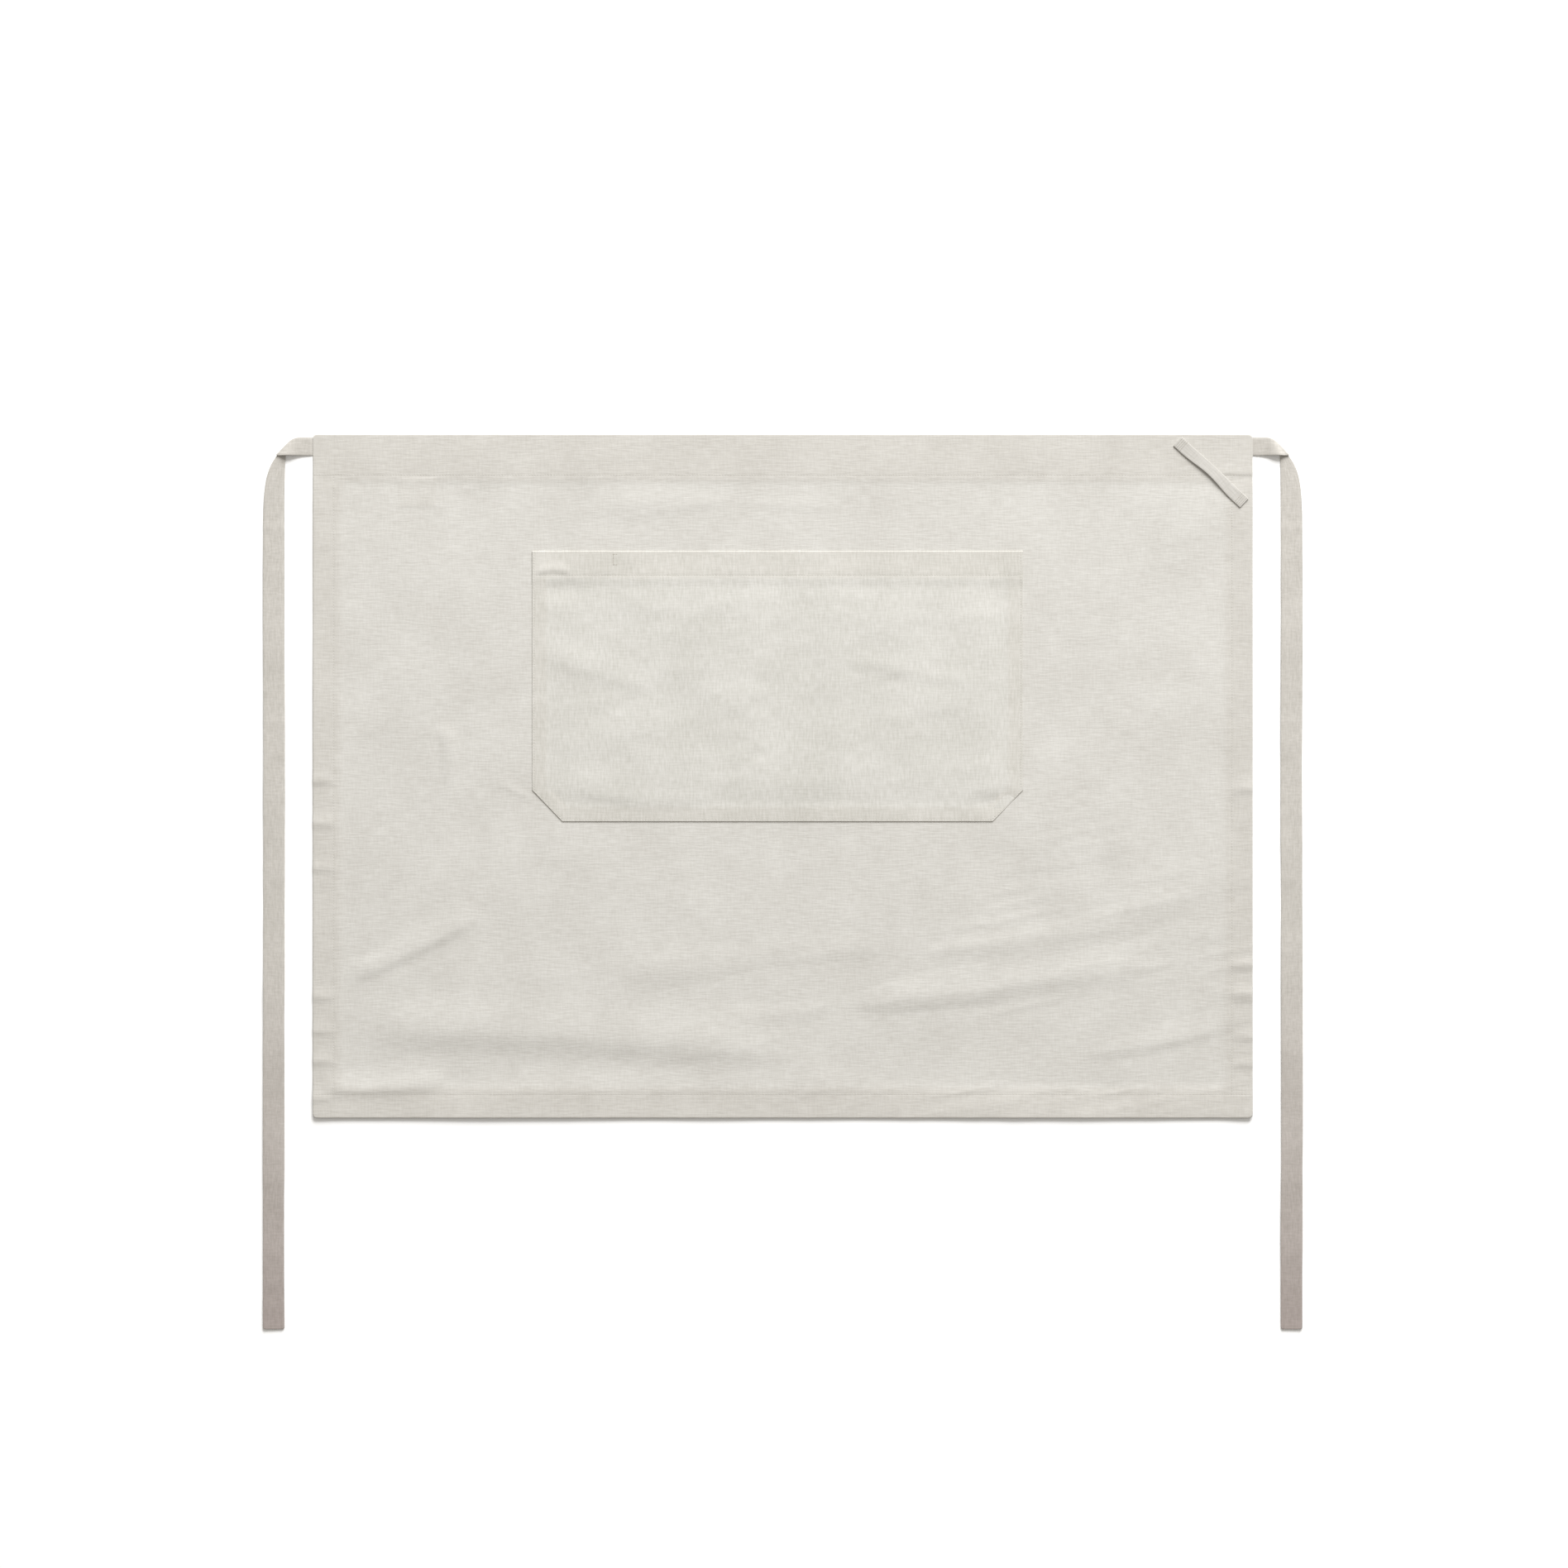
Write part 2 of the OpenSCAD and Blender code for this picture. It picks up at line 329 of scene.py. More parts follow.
@dataclass(frozen=True)
class Finishes:
    """Every finish on the apron, built once."""

    panel: bpy.types.Material
    pocket: bpy.types.Material
    tie: bpy.types.Material
    loop: bpy.types.Material
    label: bpy.types.Material
    thread: bpy.types.Material
    tack: bpy.types.Material

    @classmethod
    def build(cls) -> "Finishes":
        """Makes the materials."""
        return cls(
            panel=WovenLinen("washed_linen").build(),
            # the pocket is cut the other way of the cloth, so its strong streaks run upright
            pocket=WovenLinen(
                "washed_linen_pocket", pale="#cac8c3", deep="#b6b4ad", warp=0.35, backed_painted_shade="#fcfbfa"
            ).build(),
            # painted shade: the ties darken towards their ends, where the light falls off
            tie=WovenLinen(
                "folded_linen_tape", pale="#bfbbb5", deep="#a9a59e", along_mm=10.0,
                far_end_painted_shade="#d7cecf",
            ).build(),
            # painted shade: the loop is a darker copy of the panel's linen, to hold down the light
            # its tilt towards the window catches
            loop=WovenLinen("washed_linen_tape_painted_shade", pale="#bcb9b4", deep="#aca9a3").build(),
            label=WovenLinen(
                "cotton_label_tape", pale="#dedbd3", deep="#d2cfc6", along_mm=6.0, across_mm=0.8
            ).build(),
            thread=SpunThread("sewing_thread", "#c9c6bf", "#b7b4ac").build(),
            # painted shade: the tack thread is drawn darker than the sewing thread, for the shade
            # in the grooves between the tack rows
            tack=SpunThread("tack_thread", "#b9b4aa", "#a49e93").build(),
        )


# ---- meshes


def object_from(name: str, mesh: bpy.types.Mesh, material: bpy.types.Material) -> bpy.types.Object:
    """Puts a mesh in the scene as a smooth-shaded piece, with its folds' outer edges kept crisp.

    Args:
        name: The piece's name.
        mesh: Its mesh, in the frame.
        material: Its finish.

    Returns:
        The object.
    """
    work = bmesh.new()
    work.from_mesh(mesh)
    bmesh.ops.recalc_face_normals(work, faces=work.faces)
    work.to_mesh(mesh)
    work.free()
    mesh.shade_smooth()
    mesh.set_sharp_from_angle(angle=CRISP_ANGLE)
    mesh.materials.clear()
    mesh.materials.append(material)
    piece = bpy.data.objects.new(name, mesh)
    bpy.context.scene.collection.objects.link(piece)
    return piece


def cloth_mesh(
    name: str,
    points: Array,
    faces: list[tuple[int, ...]],
    cloth_map: Array,
    layers: Array | None = None,
    far: Array | None = None,
) -> bpy.types.Mesh:
    """Makes a mesh with the map and attributes that the linen finish reads.

    Args:
        name: The mesh's name.
        points: The vertices.
        faces: The faces, as vertex numbers.
        cloth_map: Each vertex's place on the flat cloth, in metres.
        layers: How far turned layers lie behind each vertex, from 0 to 1, for the painted shade
            over them.
        far: How near each vertex is to the far end of a long piece, from 0 to 1, for the painted
            shade there.

    Returns:
        The mesh.
    """
    mesh = bpy.data.meshes.new(name)
    mesh.from_pydata(points.tolist(), [], faces)
    corner = np.empty(len(mesh.loops), np.int32)
    mesh.loops.foreach_get("vertex_index", corner)
    mesh.uv_layers.new(name="cloth_map").data.foreach_set("uv", cloth_map[corner].ravel())
    for attribute, values in (("layers", layers), ("far", far)):
        if values is not None:
            made = mesh.attributes.new(attribute, "FLOAT", "POINT")
            made.data.foreach_set("value", np.ascontiguousarray(values, np.float32))
    mesh.update()
    return mesh


def grid_normals(face: Array) -> Array:
    """Upward unit normals of a surface that is given as rows of points."""
    normal = np.cross(np.gradient(face, axis=1), np.gradient(face, axis=0))
    return normal / np.linalg.norm(normal, axis=2, keepdims=True)


def tape_normals(line: Array, across: Array) -> Array:
    """Upward unit normals of a tape.

    Args:
        line: Points along the tape.
        across: The way across the tape at each of them.

    Returns:
        The normal at each point.
    """
    normal = np.cross(np.gradient(line, axis=0), across)
    normal *= np.sign(normal[:, 2:])
    return normal / np.linalg.norm(normal, axis=1, keepdims=True)


@dataclass
class Sheet:
    """A closed shell of cloth between two surfaces, each given as rows of points.

    Rows run with rising Y, and the points in a row with rising X.
    """

    name: str
    face: Array
    back: Array
    cloth_map: Array
    layers: Array | None = None
    keep: Array | None = None
    coarse_back: bool = False

    def back_faces(self, start: int) -> list[tuple[int, ...]]:
        """Covers the back with one face to every four cells of the front.

        Args:
            start: Number of the back's first vertex.

        Returns:
            The faces, whose rim has every vertex of the front's.
        """
        rows, columns = self.face.shape[:2]
        faces = []
        for i in range(0, rows - 1, 2):
            for j in range(0, columns - 1, 2):
                ring = [(i, j), (i + 2, j), (i + 2, j + 2), (i, j + 2)]
                if i + 2 == rows - 1:
                    ring.insert(2, (i + 2, j + 1))
                if j + 2 == columns - 1:
                    ring.insert(len(ring) - 1, (i + 1, j + 2))
                if i == 0:
                    ring.append((0, j + 1))
                if j == 0:
                    ring.insert(1, (i + 1, 0))
                faces.append(tuple(start + r * columns + c for r, c in ring))
        return faces

    def build(self, material: bpy.types.Material) -> bpy.types.Object:
        """Makes the piece.

        Args:
            material: Its finish.

        Returns:
            The object.
        """
        rows, columns = self.face.shape[:2]
        count = rows * columns
        keep = np.ones((rows - 1, columns - 1), bool) if self.keep is None else self.keep
        number = np.arange(count).reshape(rows, columns)
        faces, walls = [], []
        for i, j in zip(*np.nonzero(keep)):
            a, b, c, d = number[i, j], number[i, j + 1], number[i + 1, j + 1], number[i + 1, j]
            faces.append((int(a), int(b), int(c), int(d)))
            if i == 0 or not keep[i - 1, j]:
                walls.append((a, b))
            if j == columns - 2 or not keep[i, j + 1]:
                walls.append((b, c))
            if i == rows - 2 or not keep[i + 1, j]:
                walls.append((c, d))
            if j == 0 or not keep[i, j - 1]:
                walls.append((d, a))
        back = (
            self.back_faces(count)
            if self.coarse_back
            else [tuple(count + v for v in reversed(f)) for f in faces]
        )
        faces += back + [(int(b), int(a), int(count + a), int(count + b)) for a, b in walls]
        used = np.unique(np.concatenate([np.array(f) for f in faces]))
        renumber = np.zeros(2 * count, int)
        renumber[used] = np.arange(len(used))
        points = np.concatenate([self.face.reshape(-1, 3), self.back.reshape(-1, 3)])[used]
        layers = None if self.layers is None else np.tile(self.layers.ravel(), 2)[used]
        mesh = cloth_mesh(
            self.name,
            points,
            [tuple(renumber[list(f)].tolist()) for f in faces],
            np.tile(self.cloth_map.reshape(-1, 2), (2, 1))[used],
            layers,
        )
        return object_from(self.name, mesh, material)


@dataclass
class Ribbon:
    """A flat tape that follows a row of crosswise lines, with soft edges.

    One edge shows the slit between the two turned leaves of the tape.
    """

    name: str
    slit_edge: Array  # end of each crosswise line at the edge with the slit
    fold_edge: Array  # its other end
    normal: Array
    thickness: Array
    along: Array  # distance along the tape, of each crosswise line or of each of its two ends
    across: Array | None = None  # places across the tape of its two ends, where it is not flat

    @staticmethod
    def section() -> Array:
        """Half a turn round each edge and a straight run across each face.

        Returns:
            Rows of: place across from -1 to 1, part of the edge's radius outward, and height.
        """
        across = [(a, 0.0, 1.0) for a in np.linspace(-1, 1, 8)]
        turns = [math.radians(a) for a in (60, 30, 0, -30, -60)]
        fold = [(1.0, math.cos(a), math.sin(a)) for a in turns]
        under = [(a, 0.0, -1.0) for a in np.linspace(1, -1, 6)]
        leaf = [(0.72, 0.8), (1.0, 0.5), (0.85, 0.18)]
        slit = [(-1.0, e, -b) for e, b in leaf] + [(-1.0, 0.35, 0.0)]
        slit += [(-1.0, e, b) for e, b in reversed(leaf)]
        return np.array(across + fold + under + slit)

    def build(self, material: bpy.types.Material, far: Array | None = None) -> bpy.types.Object:
        """Makes the piece.

        Args:
            material: Its finish.
            far: How near each crosswise line is to the far end, from 0 to 1, for the painted shade
                there.

        Returns:
            The object.
        """
        section = self.section()
        middle = (self.slit_edge + self.fold_edge) / 2
        half = (self.fold_edge - self.slit_edge) / 2
        width = np.linalg.norm(half, axis=1, keepdims=True)
        across = half / width
        radius = self.thickness[:, None] / 2
        rows, around = len(middle), len(section)
        out = (section[None, :, 0:1] * (width - radius)[:, None]
               + np.sign(section[None, :, 0:1]) * section[None, :, 1:2] * radius[:, None])
        points = (
            middle[:, None]
            + across[:, None] * out
            + self.normal[:, None] * section[None, :, 2:3] * radius[:, None]
        )
        faces = [
            (i * around + k, i * around + (k + 1) % around,
             (i + 1) * around + (k + 1) % around, (i + 1) * around + k)
            for i in range(rows - 1)
            for k in range(around)
        ]
        faces += [tuple(range(around)), tuple((rows - 1) * around + k for k in range(around))]
        share = (out / width[:, None] + 1) / 2
        along = self.along if self.along.ndim == 2 else np.stack([self.along] * 2, axis=1)
        across_map = np.hstack([-width, width]) if self.across is None else self.across
        cloth_map = np.stack([
            ends[:, :1, None] * (1 - share) + ends[:, 1:, None] * share
            for ends in (along, across_map)
        ], axis=-1)
        mesh = cloth_mesh(
            self.name, points.reshape(-1, 3), faces, cloth_map.reshape(-1, 2),
            far=None if far is None else np.repeat(far, around),
        )
        return object_from(self.name, mesh, material)


# ---- stitching


@dataclass
class Stitching:
    """Makes rows of stitches with one Geometry Nodes tree.

    Each stitch is a short flattened bead, turned along its row, with a little spread in its
    direction and length from a fixed seed.
    """

    pitch: float = 2.6 * MM
    length: float = 2.0 * MM
    width: float = 0.42 * MM
    height: float = 0.11 * MM
    lean: tuple[float, float, float] = (0.16, 0.16, 0.03)  # most that a stitch turns away
    smallest: tuple[float, float, float] = (0.84, 0.9, 0.85)  # of a stitch, as parts of its size
    largest: tuple[float, float, float] = (1.06, 1.1, 1.1)
    seed: int = 7

    def __post_init__(self) -> None:
        """Builds the tree."""
        self.tree = self.build_tree()

    def build_tree(self) -> bpy.types.NodeTree:
        """Builds the tree that turns an edge path into stitches.

        Returns:
            The node group.
        """
        tree = bpy.data.node_groups.new("stitches_on_path", "GeometryNodeTree")
        face = tree.interface
        face.new_socket("Path", in_out="INPUT", socket_type="NodeSocketGeometry")
        for name in ("Pitch", "Length", "Width", "Height"):
            face.new_socket(name, in_out="INPUT", socket_type="NodeSocketFloat")
        face.new_socket("Seed", in_out="INPUT", socket_type="NodeSocketInt")
        face.new_socket("Thread", in_out="INPUT", socket_type="NodeSocketMaterial")
        face.new_socket("Stitches", in_out="OUTPUT", socket_type="NodeSocketGeometry")
        given = add(tree, "NodeGroupInput").outputs
        curve = add(tree, "GeometryNodeMeshToCurve", {"Mesh": given["Path"]})
        spaced = add(
            tree, "GeometryNodeResampleCurve",
            {"Curve": curve.outputs["Curve"], "Length": given["Pitch"]}, mode="LENGTH",
        )
        bead = add(tree, "GeometryNodeMeshUVSphere", {"Segments": 8, "Rings": 4, "Radius": 0.5})
        size = add(
            tree, "ShaderNodeCombineXYZ",
            {"X": given["Length"], "Y": given["Width"], "Z": given["Height"]},
        )
        stitch = add(
            tree, "GeometryNodeTransform",
            {"Geometry": bead.outputs["Mesh"], "Scale": size.outputs["Vector"]},
        )
        tangent = add(tree, "GeometryNodeInputTangent")
        lean = add(
            tree, "FunctionNodeRandomValue",
            {0: tuple(-v for v in self.lean), 1: self.lean, "Seed": given["Seed"]},
            data_type="FLOAT_VECTOR",
        )
        leaning = add(
            tree, "ShaderNodeVectorMath",
            {0: tangent.outputs["Tangent"], 1: lean.outputs["Value"]}, operation="ADD",
        )
        turn = add(
            tree, "FunctionNodeAlignRotationToVector", {"Vector": leaning.outputs["Vector"]},
            axis="X", pivot_axis="AUTO",
        )
        spread = add(
            tree, "FunctionNodeRandomValue",
            {0: self.smallest, 1: self.largest, "Seed": given["Seed"]},
            data_type="FLOAT_VECTOR",
        )
        placed = add(
            tree, "GeometryNodeInstanceOnPoints",
            {
                "Points": spaced.outputs["Curve"], "Instance": stitch.outputs["Geometry"],
                "Rotation": turn.outputs["Rotation"], "Scale": spread.outputs["Value"],
            },
        )
        real = add(tree, "GeometryNodeRealizeInstances", {"Geometry": placed.outputs["Instances"]})
        dressed = add(
            tree, "GeometryNodeSetMaterial",
            {"Geometry": real.outputs["Geometry"], "Material": given["Thread"]},
        )
        add(tree, "NodeGroupOutput", {"Stitches": dressed.outputs["Geometry"]})
        return tree

    def row(
        self,
        name: str,
        paths: Sequence[Array],
        material: bpy.types.Material,
        pitch: float | None = None,
        length: float | None = None,
    ) -> bpy.types.Object:
        """Makes one piece of stitching.

        Args:
            name: The piece's name.
            paths: The rows, each an array of points on the cloth's face.
            material: The thread's finish.
            pitch: Distance from stitch to stitch, if it isn't the usual one.
            length: Length of a stitch, if it isn't the usual one.

        Returns:
            The object, a plain mesh.
        """
        points = np.concatenate(list(paths))
        edges, start = [], 0
        for path in paths:
            edges += [(start + i, start + i + 1) for i in range(len(path) - 1)]
            start += len(path)
        mesh = bpy.data.meshes.new(name + "_path")
        mesh.from_pydata(points.tolist(), edges, [])
        piece = bpy.data.objects.new(name, mesh)
        bpy.context.scene.collection.objects.link(piece)
        modifier = piece.modifiers.new("stitches", "NODES")
        modifier.node_group = self.tree
        values = {
            "Pitch": pitch or self.pitch, "Length": length or self.length, "Width": self.width,
            "Height": self.height, "Seed": self.seed, "Thread": material,
        }
        for socket in self.tree.interface.items_tree:
            if socket.in_out == "INPUT" and socket.name in values:
                modifier[socket.identifier] = values[socket.name]
        graph = bpy.context.evaluated_depsgraph_get()
        made = bpy.data.meshes.new_from_object(piece.evaluated_get(graph), depsgraph=graph)
        piece.modifiers.remove(modifier)
        piece.data = made
        made.name = name
        made.shade_smooth()
        return piece


# ---- how the cloth lies


@dataclass(frozen=True)
class Fold:
    """A ridge, or with a negative height a hollow, along a bent line across the panel.

    Places are shares of the panel's width and height from its lower left corner.
    """

    path: tuple[tuple[float, float], ...]
    height: float
    left: float  # width of the side on the left of the path
    right: float  # width of the other side

    def points(self, low: Array, size: Array) -> Array:
        """The path as points in metres, with a bend of three points rounded off."""
        given = np.array(self.path, float)
        if len(given) == 3:
            t = np.linspace(0, 1, 10)[:, None]
            mid = 2 * given[1] - (given[0] + given[2]) / 2
            given = (1 - t) ** 2 * given[0] + 2 * t * (1 - t) * mid + t**2 * given[2]
        return low + given * size

    def height_at(self, x: Array, y: Array, low: Array, size: Array) -> Array:
        """The fold's height.

        Args:
            x: X of each place.
            y: Y of each place.
            low: The panel's lower left corner.
            size: The panel's width and height.

        Returns:
            The height at each place.
        """
        path = self.points(low, size)
        steps = np.linalg.norm(np.diff(path, axis=0), axis=1)
        total, gone = steps.sum(), 0.0
        nearest = np.full(x.shape, 1e9)
        side, share = np.zeros(x.shape), np.zeros(x.shape)
        for start, end, step in zip(path[:-1], path[1:], steps):
            way = (end - start) / step
            dx, dy = x - start[0], y - start[1]
            t = np.clip(dx * way[0] + dy * way[1], 0, step)
            away = np.hypot(dx - way[0] * t, dy - way[1] * t)
            closer = away < nearest
            nearest = np.where(closer, away, nearest)
            side = np.where(closer, dy * way[0] - dx * way[1], side)
            share = np.where(closer, (gone + t) / total, share)
            gone += step
        ends = smoothstep(0, 0.22, share) * smoothstep(0, 0.22, 1 - share)
        width = np.where(side > 0, self.left, self.right)
        return self.height * ends * np.exp(-((nearest / width) ** 2))


# Where the cloth is ruckled: long soft folds low down, then short ones at the edges and corners.
FOLDS = (
    Fold(((0.030, 0.200), (0.100, 0.240), (0.185, 0.302)), 1.2 * MM, 17 * MM, 6.5 * MM),
    Fold(((0.116, 0.560), (0.124, 0.409), (0.036, 0.215)), -1.5 * MM, 11 * MM, 9 * MM),
    Fold(((0.140, 0.580), (0.142, 0.520), (0.128, 0.450)), 1.4 * MM, 9 * MM, 6 * MM),
    Fold(((0.020, 0.128), (0.220, 0.124), (0.560, 0.090)), 2.0 * MM, 26 * MM, 17 * MM),
    Fold(((0.000, 0.046), (0.070, 0.044), (0.150, 0.056)), 1.3 * MM, 12 * MM, 7 * MM),
    Fold(((0.150, 0.040), (0.400, 0.052), (0.640, 0.050)), 0.9 * MM, 16 * MM, 14 * MM),
    Fold(((0.560, 0.150), (0.720, 0.190), (0.930, 0.235)), 1.1 * MM, 20 * MM, 12 * MM),
    Fold(((0.620, 0.240), (0.800, 0.270), (0.960, 0.330)), 0.8 * MM, 18 * MM, 10 * MM),
    Fold(((0.300, 0.215), (0.480, 0.230), (0.640, 0.260)), 0.7 * MM, 18 * MM, 13 * MM),
    Fold(((0.420, 0.140), (0.600, 0.175), (0.700, 0.200)), 0.6 * MM, 14 * MM, 10 * MM),
    Fold(((0.800, 0.090), (0.900, 0.110), (0.990, 0.140)), 0.9 * MM, 13 * MM, 8 * MM),
    Fold(((0.260, 0.885), (0.420, 0.900), (0.600, 0.890)), 0.5 * MM, 12 * MM, 10 * MM),
    Fold(((0.190, 0.492), (0.212, 0.482), (0.232, 0.466)), 0.6 * MM, 3 * MM, 4 * MM),
    Fold(((0.958, 0.937), (0.985, 0.936), (1.030, 0.938)), -0.9 * MM, 2.2 * MM, 4 * MM),
    Fold(((0.950, 0.945), (0.985, 0.944), (1.030, 0.946)), 0.7 * MM, 5 * MM, 2.5 * MM),
    Fold(((0.006, 0.937), (0.026, 0.936), (0.046, 0.938)), -0.8 * MM, 2.2 * MM, 4 * MM),
    Fold(((0.008, 0.957), (0.026, 0.956), (0.042, 0.957)), -0.6 * MM, 2 * MM, 3 * MM),
)
# Old creases across the pocket, and the puckers and hollow at the corners of its mouth
POCKET_FOLDS = (
    Fold(((0.233, 0.686), (0.300, 0.652), (0.370, 0.628)), 0.45 * MM, 13 * MM, 8 * MM),
    Fold(((0.270, 0.489), (0.340, 0.465), (0.438, 0.470)), 0.55 * MM, 10 * MM, 6 * MM),
    Fold(((0.552, 0.672), (0.656, 0.648), (0.726, 0.631)), 0.45 * MM, 12 * MM, 7 * MM),
    Fold(((0.236, 0.796), (0.256, 0.802), (0.276, 0.796)), 0.7 * MM, 5 * MM, 2.5 * MM),
    Fold(((0.245, 0.778), (0.262, 0.772), (0.285, 0.782)), -0.6 * MM, 7 * MM, 9 * MM),
    Fold(((0.700, 0.470), (0.728, 0.462), (0.748, 0.478)), -0.7 * MM, 8 * MM, 9 * MM),
)
# Heights, as shares of the panel's, where a side hem is drawn up into a short pucker
LEFT_PUCKERS = (0.492, 0.430, 0.364, 0.176, 0.126, 0.082, 0.028)
RIGHT_PUCKERS = (0.480, 0.222, 0.182, 0.174, 0.118, 0.078)


@dataclass(frozen=True)
class Drape:
    """How the panel lies, and the places on it that its pieces share."""

    low: Array
    high: Array
    hem_low: float  # underside of the turned hems
    face_z: float  # face of the panel over its hems
    top_hem: float  # lower edge of the top hem
    foot_hem: float  # upper edge of the bottom hem
    side_hem: float  # width of the side hems
    lip: float = 3 * MM  # turned cloth beyond a row of stitching
    rest: float = 0.12 * MM  # the cloth's fibres keep it this far off the table
    sag: float = 0.3 * MM  # how far the single layer sinks between the hems

    @classmethod
    def from_frame(cls) -> "Drape":
        """Reads the sizes from the frame."""
        low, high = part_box("panel")
        return cls(
            low=np.array(low[:2]),
            high=np.array(high[:2]),
            hem_low=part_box("top_hem")[0].z,
            face_z=high.z,
            top_hem=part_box("top_hem")[0].y,
            foot_hem=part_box("bottom_hem")[1].y,
            side_hem=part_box("left_hem")[1].x - low.x,
        )

    @property
    def size(self) -> Array:
        """The panel's width and height."""
        return self.high - self.low

    @property
    def stitch_lines(self) -> dict[str, float]:
        """Where the rows of stitching along the hems are: X for the sides, Y for the others."""
        return {
            "left": self.low[0] + self.side_hem - self.lip,
            "right": self.high[0] - self.side_hem + self.lip,
            "top": self.top_hem + self.lip,
            "bottom": self.foot_hem - self.lip,
        }

    def edge_distance(self, x: Array, y: Array) -> Array:
        """Distance to the panel's nearest edge."""
        return np.minimum(
            np.minimum(x - self.low[0], self.high[0] - x),
            np.minimum(y - self.low[1], self.high[1] - y),
        )

    def lift(self, x: Array, y: Array) -> Array:
        """How far the cloth is raised off the table by its folds and by its own stiffness.

        Args:
            x: X of each place.
            y: Y of each place.

        Returns:
            The height at each place, never below the cloth's rest on the table.
        """
        x, y = np.broadcast_arrays(np.asarray(x, float), np.asarray(y, float))
        u = (x - self.low[0]) / self.size[0]
        v = (y - self.low[1]) / self.size[1]
        broad, narrow = soft_noise(x / 0.13, y / 0.085, 3), soft_noise(x / 0.06, y / 0.05, 4)
        rise = 0.5 * MM * (broad + narrow / 2)
        for fold in FOLDS:
            rise = rise + fold.height_at(x, y, self.low, self.size)
        # fine crinkles rise to the right, and are strongest in the lower right
        lean = math.radians(11)
        along = (x * math.cos(lean) + y * math.sin(lean)) / 0.07
        across = (y * math.cos(lean) - x * math.sin(lean)) / 0.014
        crinkle = 1 - 2 * np.abs(soft_noise(along, across, 5))
        crinkle = crinkle + 0.6 * soft_noise(along * 2.1, across * 1.9, 6)
        where = 0.30 + 0.70 * smoothstep(0.35, 0.75, u) * smoothstep(0.5, 0.25, v)
        rise = rise + 0.17 * MM * where * crinkle
        for puckers, edge in ((LEFT_PUCKERS, self.low[0]), (RIGHT_PUCKERS, self.high[0])):
            for place in puckers:
                away = np.abs(x - edge)
                off = y - (self.low[1] + place * self.size[1])
                ridge = np.where(off > 0, hump(off, 7 * MM), hump(off, 2.8 * MM))
                rise = rise + 0.75 * MM * ridge * smoothstep(27 * MM, 9 * MM, away)
        # hems pucker a little along their stitching
        for line, place in self.stitch_lines.items():
            off, run = (y - place, x) if line in ("top", "bottom") else (x - place, y)
            wave = soft_noise(run / (9 * MM), 0.5, 11 + len(line))
            rise = rise + 0.10 * MM * wave * hump(off, 9 * MM)
        # the lower edge stands a little off the table, and the corners at the ties lie flat
        rise = rise + 1.5 * MM * smoothstep(45 * MM, 0, y - self.low[1])
        to_side = np.minimum(x - self.low[0], self.high[0] - x)
        rise = rise + 0.6 * MM * smoothstep(35 * MM, 0, to_side)
        near_tie = np.hypot(to_side, y - self.high[1])
        rise = rise * smoothstep(22 * MM, 75 * MM, near_tie)
        return self.rest + np.maximum(rise, 0)

    def inside(self, x: Array, y: Array) -> Array:
        """1 where the panel is a single layer, down to 0 over its hems."""
        over = 7 * MM
        return (
            smoothstep(self.side_hem, self.side_hem + over, x - self.low[0])
            * smoothstep(self.side_hem, self.side_hem + over, self.high[0] - x)
            * smoothstep(self.top_hem, self.top_hem - over, y)
            * smoothstep(self.foot_hem, self.foot_hem + over, y)
        )

    def in_label(self, x: Array, y: Array, soft: float) -> Array:
        """1 over the label behind the panel, with soft edges."""
        low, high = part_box("care_label")
        return (
            smoothstep(low.x - soft, low.x + soft, x)
            * smoothstep(high.x + soft, high.x - soft, x)
            * smoothstep(low.y - soft, low.y + soft, y)
            * smoothstep(high.y + soft, high.y - soft, y)
        )

    def face(self, x: Array, y: Array) -> Array:
        """Height of the panel's face, without its turned edge."""
        thread = 0.9 * MM
        lines = self.stitch_lines
        groove = np.maximum.reduce([
            hump(y - lines["top"], thread), hump(y - lines["bottom"], thread),
            hump(x - lines["left"], thread), hump(x - lines["right"], thread),
        ])
        return (
            self.face_z + self.lift(x, y)
            - self.sag * self.inside(x, y)
            + 0.25 * MM * self.in_label(x, y, 1.5 * MM)
            - 0.06 * MM * groove
        )


# ---- the pieces


